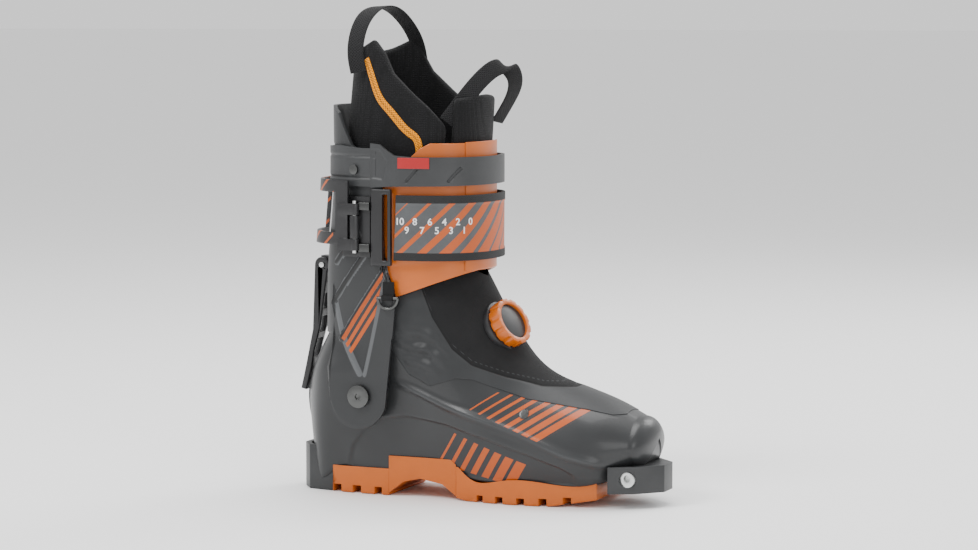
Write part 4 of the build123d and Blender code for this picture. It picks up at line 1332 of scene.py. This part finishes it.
class BOOT_OT_stage(bpy.types.Operator):
    """Set up the pale floor, the soft lights and the camera."""

    bl_idname = "boot.stage"
    bl_label = "Stage"

    def execute(self, context):
        across = np.linspace(-FLOOR_HALF, FLOOR_HALF, 3)
        x, y = np.meshgrid(across, across, indexing="ij")
        points = np.stack((x, y, np.full_like(x, FLOOR_LEVEL)), axis=-1)
        floor = skin("floor", points, points - (0, 0, 10))
        paint = Paint("pale_floor")
        floor.data.materials.append(paint.finish((0.93, 0.93, 0.93, 1), 0.7 + paint.noise(60, 2) * 0.05))
        world = bpy.data.worlds.new("studio")
        world.use_nodes = True
        world.node_tree.nodes["Background"].inputs["Color"].default_value = (1, 1, 1, 1)
        world.node_tree.nodes["Background"].inputs["Strength"].default_value = 1.05
        context.scene.world = world
        aim = (0.09, 0, 0.16)
        area_light("key", (-0.9, -1.3, 1.9), aim, 0.8, 34)
        area_light("fill", (1.7, -1.3, 0.9), aim, 1.0, 10)
        area_light("top", (0.1, 0.2, 2.0), aim, 1.2, 30)
        area_light("rim", (0.8, 1.5, 1.2), aim, 0.8, 14)
        right = Vector((math.cos(AZIMUTH), math.sin(AZIMUTH), 0))
        level = math.cos(ELEVATION)
        back = Vector((math.sin(AZIMUTH) * level, -math.cos(AZIMUTH) * level, math.sin(ELEVATION)))
        up = back.cross(right)
        camera = bpy.data.objects.new("camera", bpy.data.cameras.new("camera"))
        context.scene.collection.objects.link(camera)
        turn = Matrix((right, up, back)).transposed().to_4x4()
        middle = right * AIM[0] + up * AIM[1]
        camera.matrix_world = Matrix.Translation((middle + back * DISTANCE) * MM) @ turn
        camera.data.lens = camera.data.sensor_width * DISTANCE / VIEW_WIDTH
        context.scene.camera = camera
        return {"FINISHED"}


# ---- panel ----------------------------------------------------------------------------
STEPS = (BOOT_OT_shell, BOOT_OT_gaiter, BOOT_OT_sole, BOOT_OT_cuff, BOOT_OT_tongue_plate, BOOT_OT_straps,
         BOOT_OT_buckle, BOOT_OT_dial, BOOT_OT_hardware, BOOT_OT_liner, BOOT_OT_loops, BOOT_OT_stage)


class BOOT_PT_panel(bpy.types.Panel):
    """Lists the boot's settings and pieces."""

    bl_idname = "BOOT_PT_panel"
    bl_label = "Ski touring boot"
    bl_space_type = "VIEW_3D"
    bl_region_type = "UI"
    bl_category = "Boot"

    def draw(self, context):
        for group in (context.scene.boot_colours, context.scene.boot_sizes):
            for name in group.__annotations__:
                self.layout.prop(group, name)
        for operator in STEPS:
            self.layout.operator(operator.bl_idname)


CLASSES = (BootColours, BootSizes, *STEPS, BOOT_PT_panel)


def register():
    """Adds the settings, the operators and the panel."""
    for item in CLASSES:
        bpy.utils.register_class(item)
    bpy.types.Scene.boot_colours = bpy.props.PointerProperty(type=BootColours)
    bpy.types.Scene.boot_sizes = bpy.props.PointerProperty(type=BootSizes)


def unregister():
    """Removes what register added."""
    del bpy.types.Scene.boot_sizes
    del bpy.types.Scene.boot_colours
    for item in reversed(CLASSES):
        bpy.utils.unregister_class(item)


def main():
    """Builds every piece in order."""
    register()
    for operator in STEPS:
        getattr(bpy.ops.boot, operator.bl_idname.removeprefix("boot."))()


if __name__ == "__main__":
    main()
